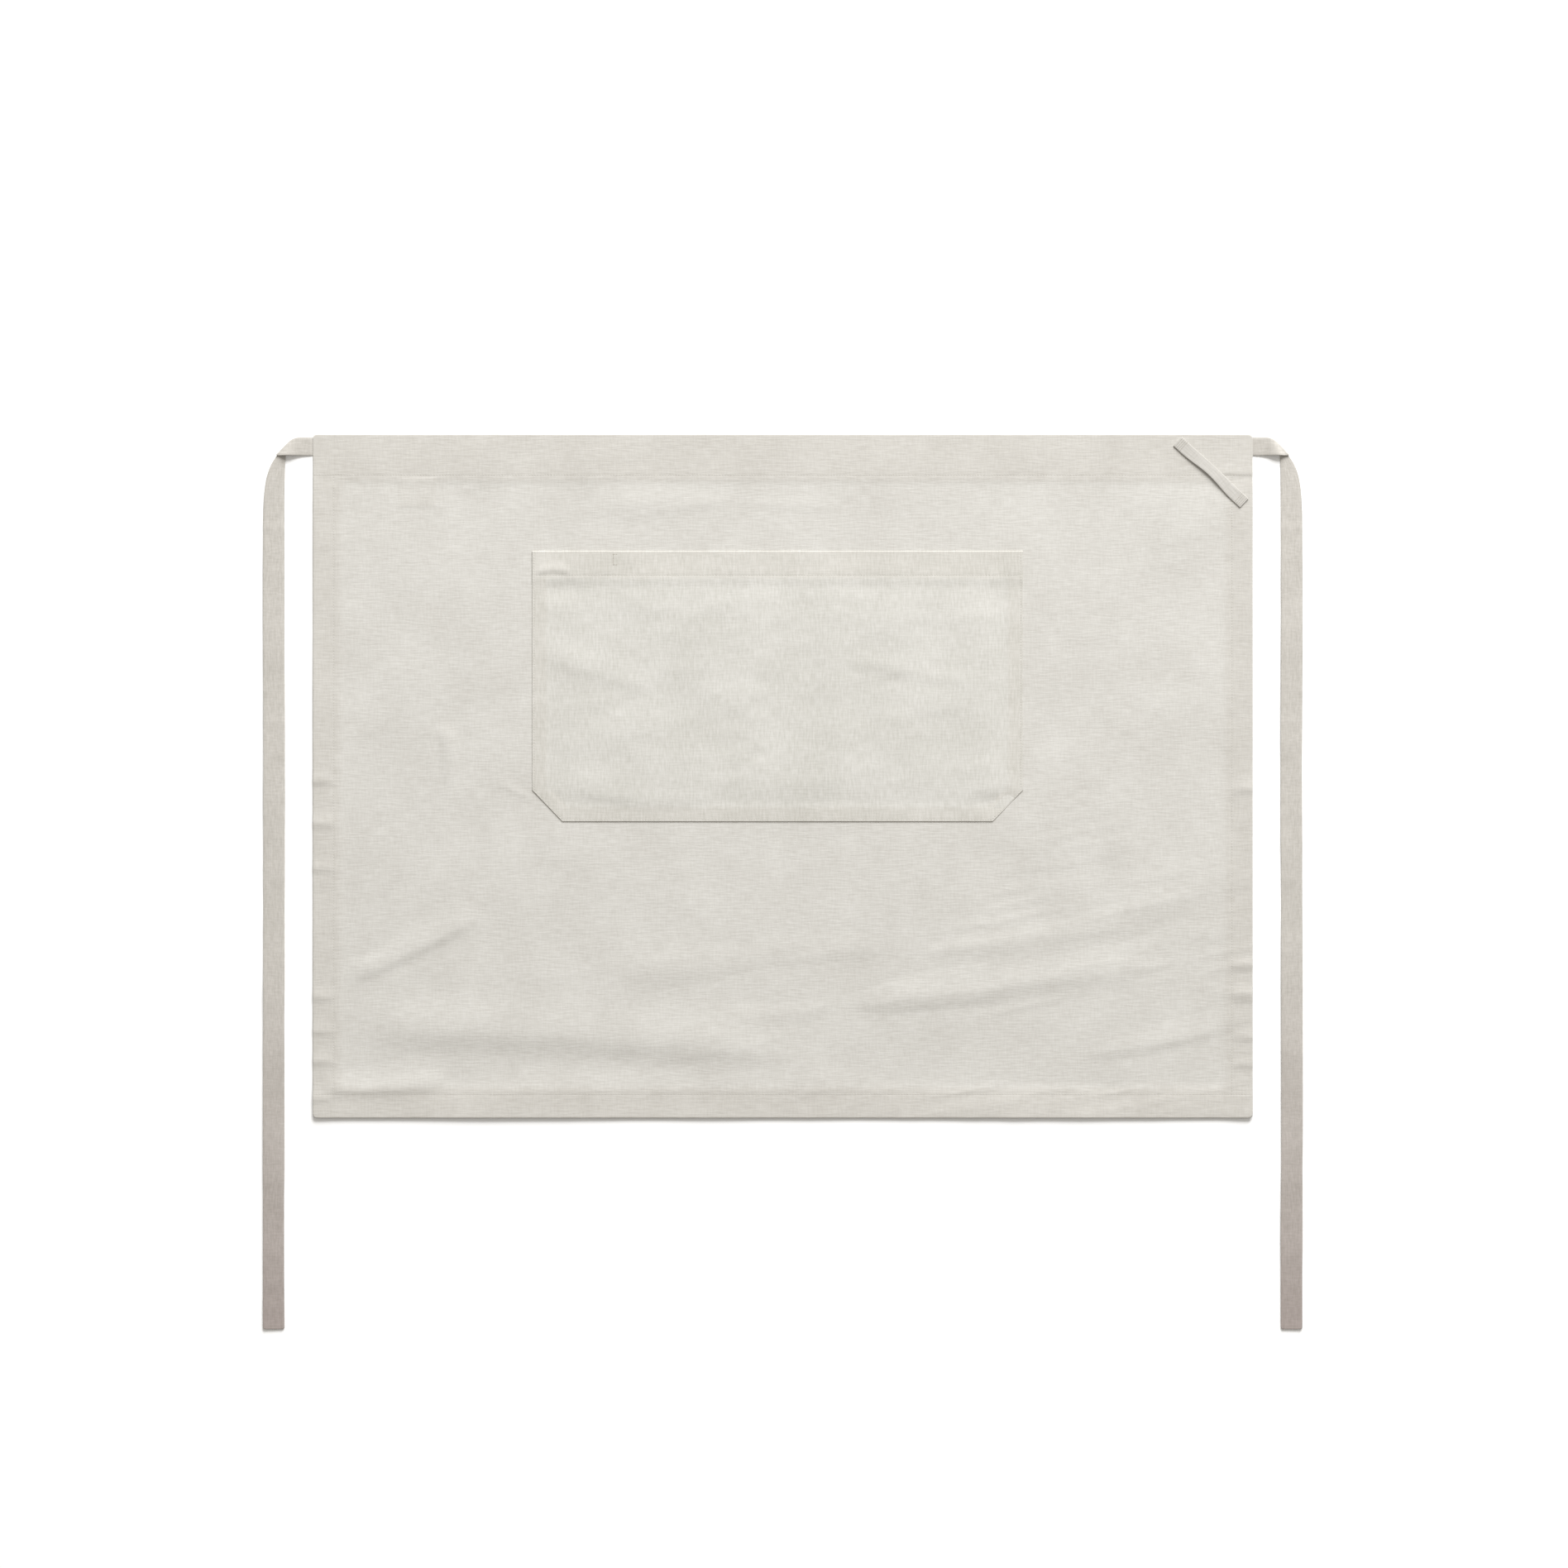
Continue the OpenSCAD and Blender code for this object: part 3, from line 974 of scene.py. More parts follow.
@dataclass
class Panel:
    """The hemmed panel, its four turned hems, the label behind it and their stitching."""

    drape: Drape
    finishes: Finishes
    stitching: Stitching
    corner: float = 4 * MM
    cloth: float = 0.4 * MM
    turn: float = 1.1 * MM  # width and depth of the turned edge
    tie_gap: tuple[float, float] = (2 * MM, 21.5 * MM)  # where a tie leaves, below the top edge

    def lines(self, axis: int, step: float) -> Array:
        """Grid lines of the panel along one axis, closer at its edges and rows of stitching.

        Args:
            axis: 0 for X, 1 for Y.
            step: Gap between the lines elsewhere.

        Returns:
            The lines.
        """
        d = self.drape
        low, high = d.low[axis], d.high[axis]
        edge = [0.12 * MM, 0.35 * MM, 0.7 * MM, 1.1 * MM, 2 * MM, self.corner]
        extra = [low + e for e in edge] + [high - e for e in edge]
        names = ("left", "right") if axis == 0 else ("bottom", "top")
        for name, inward in zip(names, (1, -1)):
            line = d.stitch_lines[name]
            extra += [line + o * MM for o in (-1.6, -0.7, 0, 0.7, 1.6)]
            extra += [line + inward * (d.lip + o * MM) for o in (-0.4, 0.4)]
        label_low, label_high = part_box("care_label")
        extra += [v[axis] + o * MM for v in (label_low, label_high) for o in (-0.8, 0.8)]
        if axis == 1:
            extra += [d.high[1] - v for v in self.tie_gap]
        extra = sorted(extra)
        apart = [e for i, e in enumerate(extra) if i == 0 or e - extra[i - 1] > 0.05 * MM]
        return grid_lines(low, high, step, apart)

    def rounded(self, x: Array, y: Array) -> tuple[Array, Array]:
        """Draws the square corners of the grid in to a round."""
        d, r = self.drape, self.corner
        side = np.where(x > 0, 1.0, -1.0)
        middle = d.low[1] + d.size[1] / 2
        end = np.where(y > middle, 1.0, -1.0)
        px = np.maximum(r - (d.size[0] / 2 - np.abs(x)), 0)
        py = np.maximum(r - (d.size[1] / 2 - np.abs(y - middle)), 0)
        near = (px > 0) & (py > 0)
        scale = np.where(near, np.maximum(px, py) / np.maximum(np.hypot(px, py), 1e-12), 1.0)
        return x + side * px * (scale - 1), y + end * py * (scale - 1)

    def turned_edge(self, x: Array, y: Array) -> Array:
        """How far the face drops at the panel's turned edge."""
        d = self.drape
        inward = 1 - np.clip(d.edge_distance(x, y) / self.turn, 0, 1)
        depth = d.high[1] - y
        opening = (
            smoothstep(self.tie_gap[0] - 1.2 * MM, self.tie_gap[0], depth)
            * smoothstep(self.tie_gap[1] + 1.2 * MM, self.tie_gap[1], depth)
        )
        return self.turn * (1 - 0.68 * opening) * (1 - np.sqrt(1 - inward**2))

    def cloth_piece(self) -> bpy.types.Object:
        """Makes the panel itself."""
        d = self.drape
        x, y = np.meshgrid(self.lines(0, 4.1 * MM), self.lines(1, 2.7 * MM))
        z = d.face(x, y) - self.turned_edge(x, y)
        moved_x, moved_y = self.rounded(x, y)
        face = np.stack([moved_x, moved_y, z], axis=-1)
        back = face - self.cloth * grid_normals(face)
        back[..., 2] = np.maximum(back[..., 2], 0)
        # painted shade: darker over the hems, and over the label behind, where less light comes
        # through the cloth
        layers = np.maximum(1 - d.inside(x, y), 0.6 * d.in_label(x, y, 1.5 * MM))
        sheet = Sheet(
            "panel_cloth", face, back, np.stack([x, y], axis=-1), layers, coarse_back=True
        )
        return sheet.build(self.finishes.panel)

    def strip(self, name: str, low: Array, high: Array, notch: float = 0.0) -> bpy.types.Object:
        """Makes one turned hem, two layers thick, behind the panel.

        Args:
            name: The piece's name.
            low: Its lower left corner.
            high: Its upper right corner.
            notch: Length left out at both ends for the roots of the ties.

        Returns:
            The object.
        """
        d = self.drape
        gap = [d.high[1] - v for v in self.tie_gap]
        xs = grid_lines(low[0], high[0], 5 * MM, [low[0] + notch, high[0] - notch] if notch else [])
        ys = grid_lines(low[1], high[1], 5 * MM, gap if notch else [])
        x, y = np.meshgrid(xs, ys)
        # the free edge of the hem is a fold, and is rounded
        inner = np.minimum(
            np.minimum(np.abs(y - d.top_hem), np.abs(y - d.foot_hem)),
            np.minimum(np.abs(x - d.low[0] - d.side_hem), np.abs(d.high[0] - d.side_hem - x)),
        )
        thin = 0.1 * MM * hump(inner, 0.5 * MM)
        rise = d.lift(x, y)
        face = np.stack([x, y, d.face_z - self.cloth - 0.06 * MM - thin + rise], axis=-1)
        back = np.stack([x, y, d.hem_low + thin + rise - d.rest * 0.5], axis=-1)
        keep = None
        if notch:
            mid_x, mid_y = (xs[:-1] + xs[1:]) / 2, (ys[:-1] + ys[1:]) / 2
            ends = (mid_x < low[0] + notch) | (mid_x > high[0] - notch)
            beside = (mid_y < gap[0]) & (mid_y > gap[1])
            keep = ~(beside[:, None] & ends[None, :])
        return Sheet(name, face, back, np.stack([x, y], axis=-1), keep=keep).build(
            self.finishes.panel
        )

    def label_piece(self) -> bpy.types.Object:
        """Makes the blank label that hangs behind the panel from the top hem."""
        d = self.drape
        low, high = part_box("care_label")
        x, y = np.meshgrid(grid_lines(low.x, high.x, 3 * MM), grid_lines(low.y, high.y, 3 * MM))
        base = d.lift(x, y) + 0.06 * MM
        face = np.stack([x, y, base + 0.28 * MM], axis=-1)
        back = np.stack([x, y, base], axis=-1)
        return Sheet("care_label_tape", face, back, np.stack([x, y], axis=-1)).build(
            self.finishes.label
        )

    def row_path(self, line: str) -> Array:
        """The path of one row of hem stitching, on the panel's face.

        Args:
            line: Which hem, as in Drape.stitch_lines.

        Returns:
            The points of the path.
        """
        d = self.drape
        place = d.stitch_lines[line]
        if line in ("top", "bottom"):
            run = np.arange(d.low[0] + 2 * MM, d.high[0] - 2 * MM, PATH_STEP)
            x, y = run, np.full_like(run, place)
        else:
            run = np.arange(d.stitch_lines["bottom"] + MM, d.stitch_lines["top"] - MM, PATH_STEP)
            x, y = np.full_like(run, place), run
        return np.stack([x, y, d.face(x, y) + 0.10 * MM], axis=-1)

    def build(self) -> None:
        """Makes every piece, and puts it on the apron's body."""
        d, inset = self.drape, self.turn + 0.2 * MM
        low, high = d.low + inset, d.high - inset
        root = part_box("left_tie_root")
        cloth = self.cloth_piece()
        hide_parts("panel")
        hems = [
            self.strip("top_hem_turn", np.array([low[0], d.top_hem]), high,
                       root[1].x - root[0].x),
            self.strip("bottom_hem_turn", low, np.array([high[0], d.foot_hem])),
            self.strip("left_hem_turn", np.array([low[0], d.foot_hem]),
                       np.array([d.low[0] + d.side_hem, d.top_hem])),
            self.strip("right_hem_turn", np.array([d.high[0] - d.side_hem, d.foot_hem]),
                       np.array([high[0], d.top_hem])),
        ]
        label = self.label_piece()
        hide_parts("care_label")
        rows = []
        for line in d.stitch_lines:
            row = self.stitching.row(
                f"{line}_hem_stitches", [self.row_path(line)], self.finishes.thread
            )
            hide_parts(f"{line}_hem_stitching")
            rows.append(row)
        for hem, name in zip(hems, ("top_hem", "bottom_hem", "left_hem", "right_hem")):
            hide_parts(name)
        for piece in (cloth, *hems, label, *rows):
            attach(piece, "apron")
        low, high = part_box("care_label")
        log.info("panel, 4 hems, label and 4 rows of stitching")


@dataclass
class Pocket:
    """The patch pocket with cut lower corners.

    Each of its layers is made in a left and a right half, which meet at the middle of the mouth.
    """

    drape: Drape
    finishes: Finishes
    stitching: Stitching
    cut_width: float = 29 * MM
    cut_height: float = 30 * MM
    cloth: float = 0.4 * MM
    turn: float = 0.5 * MM  # radius of its turned edges
    inset: float = 1.4 * MM  # edge of the pocket to the edge of the layers behind
    edge_row: float = 2 * MM  # edge of the pocket to its row of stitching
    allowance: float = 13 * MM
    sewn: float = 5 * MM  # width at each side that stays with the panel
    lip: float = 3 * MM  # turned cloth beyond the mouth's row of stitching
    tack_out: float = 157 * MM  # the tack, left of the pocket's middle
    tack_length: float = 10 * MM
    tack_foot: float = 3 * MM

    def __post_init__(self) -> None:
        """Reads the pocket's places from the frame."""
        low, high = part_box("pocket_border")
        self.middle = (low.x + high.x) / 2
        self.half = (high.x - low.x) / 2
        self.foot, self.mouth = low.y, high.y
        self.hem_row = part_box("pocket_hem")[0].y + self.lip

    def half_width(self, y: Array) -> Array:
        """Half the pocket's width, narrower below the start of its cut corners."""
        below = np.clip(self.foot + self.cut_height - y, 0, self.cut_height)
        return self.half - below * self.cut_width / self.cut_height

    def rise(self, x: Array, y: Array) -> Array:
        """Height of the pocket's face over the panel's.

        Args:
            x: X of each place.
            y: Y of each place.

        Returns:
            The height at each place.
        """
        side = self.half_width(y) - np.abs(x - self.middle)
        edge = np.minimum(side, y - self.foot)
        down = self.mouth - y
        hem = self.mouth - self.hem_row + self.lip
        rise = 0.50 * MM + 0.30 * MM * smoothstep(self.allowance + 5 * MM, self.allowance, edge)
        rise = rise + 0.50 * MM * smoothstep(hem + 9 * MM, hem, down)
        # the slack cloth stands a little proud, and rolls down to its foot and sides
        slack = smoothstep(4 * MM, 42 * MM, y - self.foot) * smoothstep(2 * MM, 45 * MM, side)
        rise = rise + 0.9 * MM * slack * smoothstep(0, 60 * MM, down)
        rise = rise + 0.3 * MM * slack * soft_noise(x / 0.05, y / 0.035, 21)
        rise = rise + 0.12 * MM * slack * soft_noise(x / 0.022, y / 0.012, 22)
        for fold in POCKET_FOLDS:
            rise = rise + fold.height_at(x, y, self.drape.low, self.drape.size)
        rows = np.maximum(hump(edge - self.edge_row, 0.9 * MM), hump(y - self.hem_row, 0.9 * MM))
        return rise - 0.10 * MM * rows

    def grid(self, step: float) -> tuple[Array, Array, int]:
        """Places the grid of the pocket's cloth, with a column down its middle.

        Args:
            step: Gap between its lines.

        Returns:
            X and Y of each place, and the number of the middle column.
        """
        edge = [0.1 * MM, 0.3 * MM, 0.6 * MM, 0.9 * MM, 1.5 * MM, 2 * MM, 2.6 * MM, self.sewn]
        deep = [self.allowance, self.allowance + 2.5 * MM]
        side = [self.half - e for e in edge + deep]
        columns = grid_lines(0, self.half, step, side)
        columns = np.concatenate([-columns[:0:-1], columns])
        rows = grid_lines(
            self.foot, self.mouth, step,
            [self.foot + e for e in edge + deep]
            + [self.mouth - e for e in edge[:5]]
            + [self.hem_row + o * MM for o in (-4, -3, -1.5, -0.7, 0, 0.7, 1.5)]
            + [self.foot + self.cut_height],
        )
        share, y = np.meshgrid(columns / self.half, rows)
        return self.middle + share * self.half_width(y), y, len(columns) // 2

    def front(self) -> dict[Side, bpy.types.Object]:
        """Makes the two halves of the front layer."""
        x, y, middle = self.grid(2.7 * MM)
        side = self.half_width(y) - np.abs(x - self.middle)
        slant = np.where(y < self.foot + self.cut_height, 0.72, 1.0)
        edge = np.minimum(side * slant, y - self.foot)
        rise = self.rise(x, y)
        inward = 1 - np.clip(edge / self.turn, 0, 1)
        over = 1 - np.clip((self.mouth - y) / self.turn, 0, 1)
        drop = (rise - 0.08 * MM) * (1 - np.sqrt(1 - inward**2))
        drop_mouth = np.minimum(rise - 0.1 * MM, 1.2 * MM) * (1 - np.sqrt(1 - over**2))
        z = self.drape.face(x, y) + rise - np.maximum(drop, drop_mouth)
        face = np.stack([x, y, z], axis=-1)
        back = face - self.cloth * grid_normals(face)
        # painted shade: darker over the turned allowance and mouth hem behind the front
        turned = np.maximum(
            smoothstep(self.allowance + 1.2 * MM, self.allowance - 0.4 * MM, edge),
            smoothstep(self.hem_row - self.lip - 0.8 * MM, self.hem_row - self.lip + 0.8 * MM, y),
        )
        cloth_map = np.stack([x, y], axis=-1)
        made = {}
        for which, part in ((Side.LEFT, slice(0, middle + 1)), (Side.RIGHT, slice(middle, None))):
            made[which] = Sheet(
                f"pocket_front_{which.word}", face[:, part], back[:, part], cloth_map[:, part],
                turned[:, part],
            ).build(self.finishes.pocket)
        return made

    def layer(
        self, name: str, low_y: float, high_y: float, inset: float, depth: float | None,
        low_rise: float, high_rise: float,
    ) -> dict[Side, bpy.types.Object]:
        """Makes the two halves of a turned layer behind the front.

        Args:
            name: Start of the pieces' names.
            low_y: Its lower edge.
            high_y: Its upper edge.
            inset: Distance from the pocket's sides.
            depth: Width of a band along the sides and foot, or None for a full layer.
            low_rise: Height of its underside over the panel.
            high_rise: Height of its upper side over the panel.

        Returns:
            The two pieces by side.
        """
        extra = [self.half - inset - depth] if depth else []
        columns = grid_lines(0, self.half - inset, 6 * MM, extra)
        rows = grid_lines(low_y, high_y, 6 * MM,
                          [low_y + depth if depth else low_y, self.foot + self.cut_height])
        made = {}
        for which in Side:
            sided = columns if which is Side.RIGHT else -columns[::-1]
            share, y = np.meshgrid(sided / self.half, rows)
            x = self.middle + share * self.half_width(y)
            base = self.drape.face(x, y)
            keep = None
            if depth:
                mid = np.abs(sided[:-1] + sided[1:]) / 2
                keep = (mid[None, :] > self.half - inset - depth) | (
                    (rows[:-1] + rows[1:])[:, None] / 2 < low_y + depth
                )
            made[which] = Sheet(
                f"{name}_{which.word}", np.stack([x, y, base + high_rise], axis=-1),
                np.stack([x, y, base + low_rise], axis=-1), np.stack([x, y], axis=-1), keep=keep,
            ).build(self.finishes.pocket)
        return made

    def on_face(self, x: Array, y: Array, lift: float = 0.1 * MM) -> Array:
        """Points just over the pocket's face."""
        return np.stack([x, y, self.drape.face(x, y) + self.rise(x, y) + lift], axis=-1)

    def edge_path(self) -> Array:
        """The row of stitching just inside the pocket's sides, cut corners and foot."""
        inset = self.edge_row
        y_cut = self.foot + self.cut_height
        slope = math.hypot(self.cut_width, self.cut_height)
        drop = inset * (slope - self.cut_width) / self.cut_height
        x_side = self.half - inset
        x_foot = self.half - self.cut_width - inset * (slope - self.cut_height) / self.cut_width
        corners = np.array([
            (-x_side, self.mouth - MM), (-x_side, y_cut - drop), (-x_foot, self.foot + inset),
            (x_foot, self.foot + inset), (x_side, y_cut - drop), (x_side, self.mouth - MM),
        ])
        steps = [
            np.linspace(a, b, max(2, int(np.linalg.norm(b - a) / PATH_STEP)), endpoint=False)
            for a, b in zip(corners[:-1], corners[1:])
        ]
        flat = np.concatenate([*steps, corners[-1:]])
        return self.on_face(self.middle + flat[:, 0], flat[:, 1])

    def tack_paths(self) -> list[Array]:
        """The upright tack and its two short feet, on the mouth's hem."""
        x = self.middle - self.tack_out
        high = self.mouth - self.lip
        low = high - self.tack_length
        run, foot = np.linspace(low, high, 8), np.linspace(x, x + self.tack_foot, 4)
        return [
            self.on_face(np.full_like(run, x), run),
            self.on_face(foot, np.full_like(foot, low)),
            self.on_face(foot, np.full_like(foot, high)),
        ]

    def bend(self, piece: bpy.types.Object) -> None:
        """Bakes the piece's place into its mesh."""
        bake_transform(piece)

    def build(self) -> None:
        """Makes every piece of the pocket."""
        hem_low = self.hem_row - self.lip
        front = self.front()
        hem = self.layer("pocket_hem_turn", hem_low, self.mouth - self.turn, self.inset, None,
                         0.10 * MM, 0.56 * MM)
        turned = self.layer("pocket_allowance", self.foot + self.inset, hem_low - 0.2 * MM,
                            self.inset, self.allowance - self.inset, 0.08 * MM, 0.36 * MM)
        edge_row = self.stitching.row(
            "pocket_edge_stitches", [self.edge_path()], self.finishes.thread
        )
        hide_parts("pocket_stitching")
        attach(edge_row, "apron")
        tack = self.stitching.row(
            "pocket_tack_stitches", self.tack_paths(), self.finishes.tack, 1.1 * MM, 1.4 * MM
        )
        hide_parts("pocket_tack")
        self.bend(tack)
        for which in Side:
            end = self.middle + which.value * (self.half - self.sewn)
            run = np.arange(min(end, self.middle), max(end, self.middle), PATH_STEP)
            row = self.stitching.row(
                f"pocket_hem_stitches_{which.word}",
                [self.on_face(run, np.full_like(run, self.hem_row))], self.finishes.thread,
            )
            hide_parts("pocket_hem_stitching")
            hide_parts("pocket_front", "pocket_border")
            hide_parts("pocket_hem")
            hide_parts("pocket_allowance")
            for piece in (front[which], hem[which], turned[which], row):
                self.bend(piece)
        log.info("pocket: 2 halves of 3 layers, 3 rows of stitching and a tack")


@dataclass
class HangingLoop:
    """A folded tape across the top right corner, sewn down at both ends and free between."""

    drape: Drape
    finishes: Finishes
    stitching: Stitching
    width: float = 12 * MM
    thickness: float = 1.15 * MM
    end_length: float = 9 * MM
    rows: int = 4
    tilt: float = math.radians(5)  # of the free edge, at the middle
    bow: float = 2.4 * MM  # the free edge's bow towards the corner
    start_in: tuple[float, float] = (72 * MM, 7 * MM)  # upper end, from the corner
    end_in: tuple[float, float] = (8.5 * MM, 66 * MM)  # lower end, from the corner

    def __post_init__(self) -> None:
        """Works out the line of the loop."""
        corner = self.drape.high
        self.start = corner - np.array(self.start_in)
        self.end = corner - np.array(self.end_in)
        self.length = float(np.linalg.norm(self.end - self.start))
        self.way = (self.end - self.start) / self.length
        self.out = np.array([-self.way[1], self.way[0]])  # towards the corner

    def share(self, run: Array) -> Array:
        """0 over the sewn ends and 1 at the middle of the free stretch."""
        free = (run - self.end_length) / (self.length - 2 * self.end_length)
        return np.sin(np.pi * np.clip(free, 0, 1)) ** 2

    def edges(self, run: Array) -> tuple[Array, Array, Array]:
        """Both edges of the tape.

        Args:
            run: Distances along the loop.

        Returns:
            The corner-side edge, the free edge and the normal of the tape at each distance.
        """
        s = self.share(run)
        angle = self.tilt * s**0.7
        bow = self.bow * s
        out = self.width / 2 + 0.25 * bow
        near = self.start + run[:, None] * self.way + out[:, None] * self.out
        flat = self.width * np.cos(angle) - 0.75 * bow
        far = near - flat[:, None] * self.out
        base = self.drape.face(near[:, 0], near[:, 1]) * (1 - s) + s * self.drape.face_z
        z = base + self.thickness / 2 + 0.05 * MM + 0.1 * MM * s
        low = np.column_stack([near, z])
        high = np.column_stack([far, z + self.width * np.sin(angle)])
        cross = high - low
        normal = np.cross(np.append(self.way, 0.0), -cross)
        return low, high, normal / np.linalg.norm(normal, axis=1, keepdims=True)

    def half(self, which: Side) -> bpy.types.Object:
        """Makes half the tape, from a sewn end to the middle."""
        ends = (0.0, self.length / 2) if which is Side.LEFT else (self.length / 2, self.length)
        run = np.linspace(*ends, 30)
        near, far, normal = self.edges(run)
        word = "upper" if which is Side.LEFT else "lower"
        return Ribbon(
            f"loop_tape_{word}", far, near, normal, np.full(len(run), self.thickness), run
        ).build(self.finishes.loop)

    def tack_rows(self, at_end: bool) -> list[Array]:
        """Rows of tack stitches across one sewn end."""
        pitch = self.end_length / (self.rows + 0.5)
        paths = []
        for i in range(self.rows):
            run = (i + 0.75) * pitch
            run = self.length - self.end_length + run if at_end else run
            near, far, normal = self.edges(np.array([run]))
            inset = np.linspace(0.07, 0.93, 9)[:, None]
            lift = self.thickness / 2 + 0.08 * MM
            paths.append(near + (far - near) * inset + normal * lift)
        return paths

    def build(self) -> None:
        """Makes the tape's halves and the tacks at its ends."""
        for which, word in ((Side.LEFT, "upper"), (Side.RIGHT, "lower")):
            tape = self.half(which)
            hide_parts(f"loop_{word}_end", "loop_span")
            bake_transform(tape)
            rows = self.stitching.row(
                f"loop_{word}_tacks", self.tack_rows(which is Side.RIGHT), self.finishes.tack,
                1.2 * MM, 1.35 * MM,
            )
            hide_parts(f"loop_{word}_stitching")
            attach(rows, "apron")
        log.info("hanging loop: 2 halves and 2 sets of tacks")


AWAY = np.array([1.0, -1.0]) / math.sqrt(2)  # out past the crease of a tie's corner fold


@dataclass
class Tie:
    """One long folded tie: out of the hem, folded down at a corner, and straight to its end.

    Places are measured out from the panel's side edge and down from its top edge.
    """

    side: Side
    drape: Drape
    finishes: Finishes
    width: float = 20.5 * MM
    tucked: float = 17.5 * MM  # width where the tape leaves the seam
    thickness: float = 1.1 * MM
    below: float = 3 * MM
    crease_out: float = 16.7 * MM  # where the line of the crease meets the line of the top edge
    turn: float = 16 * MM  # radius of the top edge as it comes round to the crease
    pinch: float = 0.4 * MM  # radius of the crease's roll at its upper end
    tab_end: float = 12 * MM  # how far out the tab piece ends
    stand: float = 2.4 * MM  # how far the tab's lower edge stands up over the run
    run_z: float = 0.62 * MM  # middle of the tape in the run
    tab_z: float = 2.08 * MM  # middle of the tape in the tab over it
    inner_out: float = 26 * MM  # the run's inner edge under the tab
    swing: float = 16 * MM  # length over which most of the swing into the lane is done
    tip_round: float = 2 * MM
    split: float = 78 * MM  # how far down the corner piece ends
    fold_half: float = 1.2 * MM  # half the height of the soft bend half way down

    def __post_init__(self) -> None:
        """Reads the lane, the tip and the fold from the frame."""
        low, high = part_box(f"{self.side.word}_tie_end")
        edge = self.drape.high[0]
        self.lane = abs((low.x + high.x) / 2) - edge
        self.tip = self.drape.high[1] - low.y
        self.fold = (
            self.drape.high[1] - (high.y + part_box(f"{self.side.word}_tie_run")[0].y) / 2
        )
        self.low = self.below + self.tucked  # how far down the tab's lower edge is
        self.roll = (self.tab_z - self.run_z) / 2

    def place(self, out: Array, down: Array, z: Array) -> Array:
        """Points in the frame from places at this tie's corner."""
        out, down, z = np.broadcast_arrays(out, down, z)
        x = self.side.value * (self.drape.high[0] + out)
        return np.stack([x, self.drape.high[1] - down, z], axis=-1)

    @property
    def outline(self) -> float:
        """Where the outside of the rolled crease meets the line of the top edge."""
        return self.crease_out + (self.roll + self.thickness / 2) * math.sqrt(2)

    def top_edge(self, out: Array) -> Array:
        """How far down the tab's top edge is: level, then round an arc to 45 degrees."""
        start = self.outline - self.turn * math.tan(math.pi / 8)
        past = np.clip(np.asarray(out, float) - start, 0, self.turn * math.sin(math.pi / 4))
        return self.below + self.turn - np.sqrt(self.turn**2 - past**2)

    def turn_end(self) -> float:
        """How far out the arc of the top edge meets the crease."""
        return self.outline + self.turn * (math.sin(math.pi / 4) - math.tan(math.pi / 8))

    def tab_height(self, out: Array) -> Array:
        """Height of the tape's middle from the hem out to the crease."""
        return self.run_z + (self.tab_z - self.run_z) * smoothstep(1 * MM, 22 * MM, out)

    def standing(self, out: Array) -> Array:
        """How far the tab's lower edge stands up: highest over the run, nothing at the crease."""
        last = self.crease_out + self.tucked
        return self.stand * smoothstep(11 * MM, self.inner_out, out) * (
            1 - smoothstep(self.inner_out, last - 1 * MM, out)
        )

    def swung(self, start: float, end: float, down: Array) -> Array:
        """Out from under the tab into the lane, fast at first and then ever more slowly."""
        past = np.clip((np.asarray(down, float) - self.low) / self.swing, 0, None)
        whole = 1 - math.exp(-(self.split - self.low) / self.swing)
        return start + (end - start) * np.minimum((1 - np.exp(-past)) / whole, 1)

    def crease(self) -> tuple[Array, Array]:
        """The upper and the lower end of the crease, as places out and down."""
        arc_end = self.turn_end()
        upper = np.array([arc_end, float(self.top_edge(arc_end))])
        return upper - AWAY * (self.pinch + 0.2 * MM), np.array([
            self.crease_out + self.tucked, self.low,
        ])

    def root_and_tab(self) -> bpy.types.Object:
        """Makes the stretch from inside the hem out to the crease of the corner fold."""
        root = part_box(f"{self.side.word}_tie_root")
        length = root[1].x - root[0].x - 0.5 * MM
        straight = np.concatenate([
            np.linspace(-length, -2 * MM, 6), np.linspace(-1 * MM, 6 * MM, 15),
            np.linspace(7 * MM, self.tab_end, 8),
        ])
        upper, lower = self.crease()
        fan = np.linspace(0, 1, 15)[1:]  # from straight across the tape round to the crease
        high_out = self.tab_end + fan * (self.turn_end() - 0.3 * MM - self.tab_end)
        low_out = self.tab_end + fan * (lower[0] - self.tab_end)
        high_out[-1] = upper[0]
        high_down = self.top_edge(np.concatenate([straight, high_out]))
        high_down[-1] = upper[1]
        high_out = np.concatenate([straight, high_out])
        low_out = np.concatenate([straight, low_out])
        turned = np.concatenate([np.zeros(len(straight)), fan]) ** 2

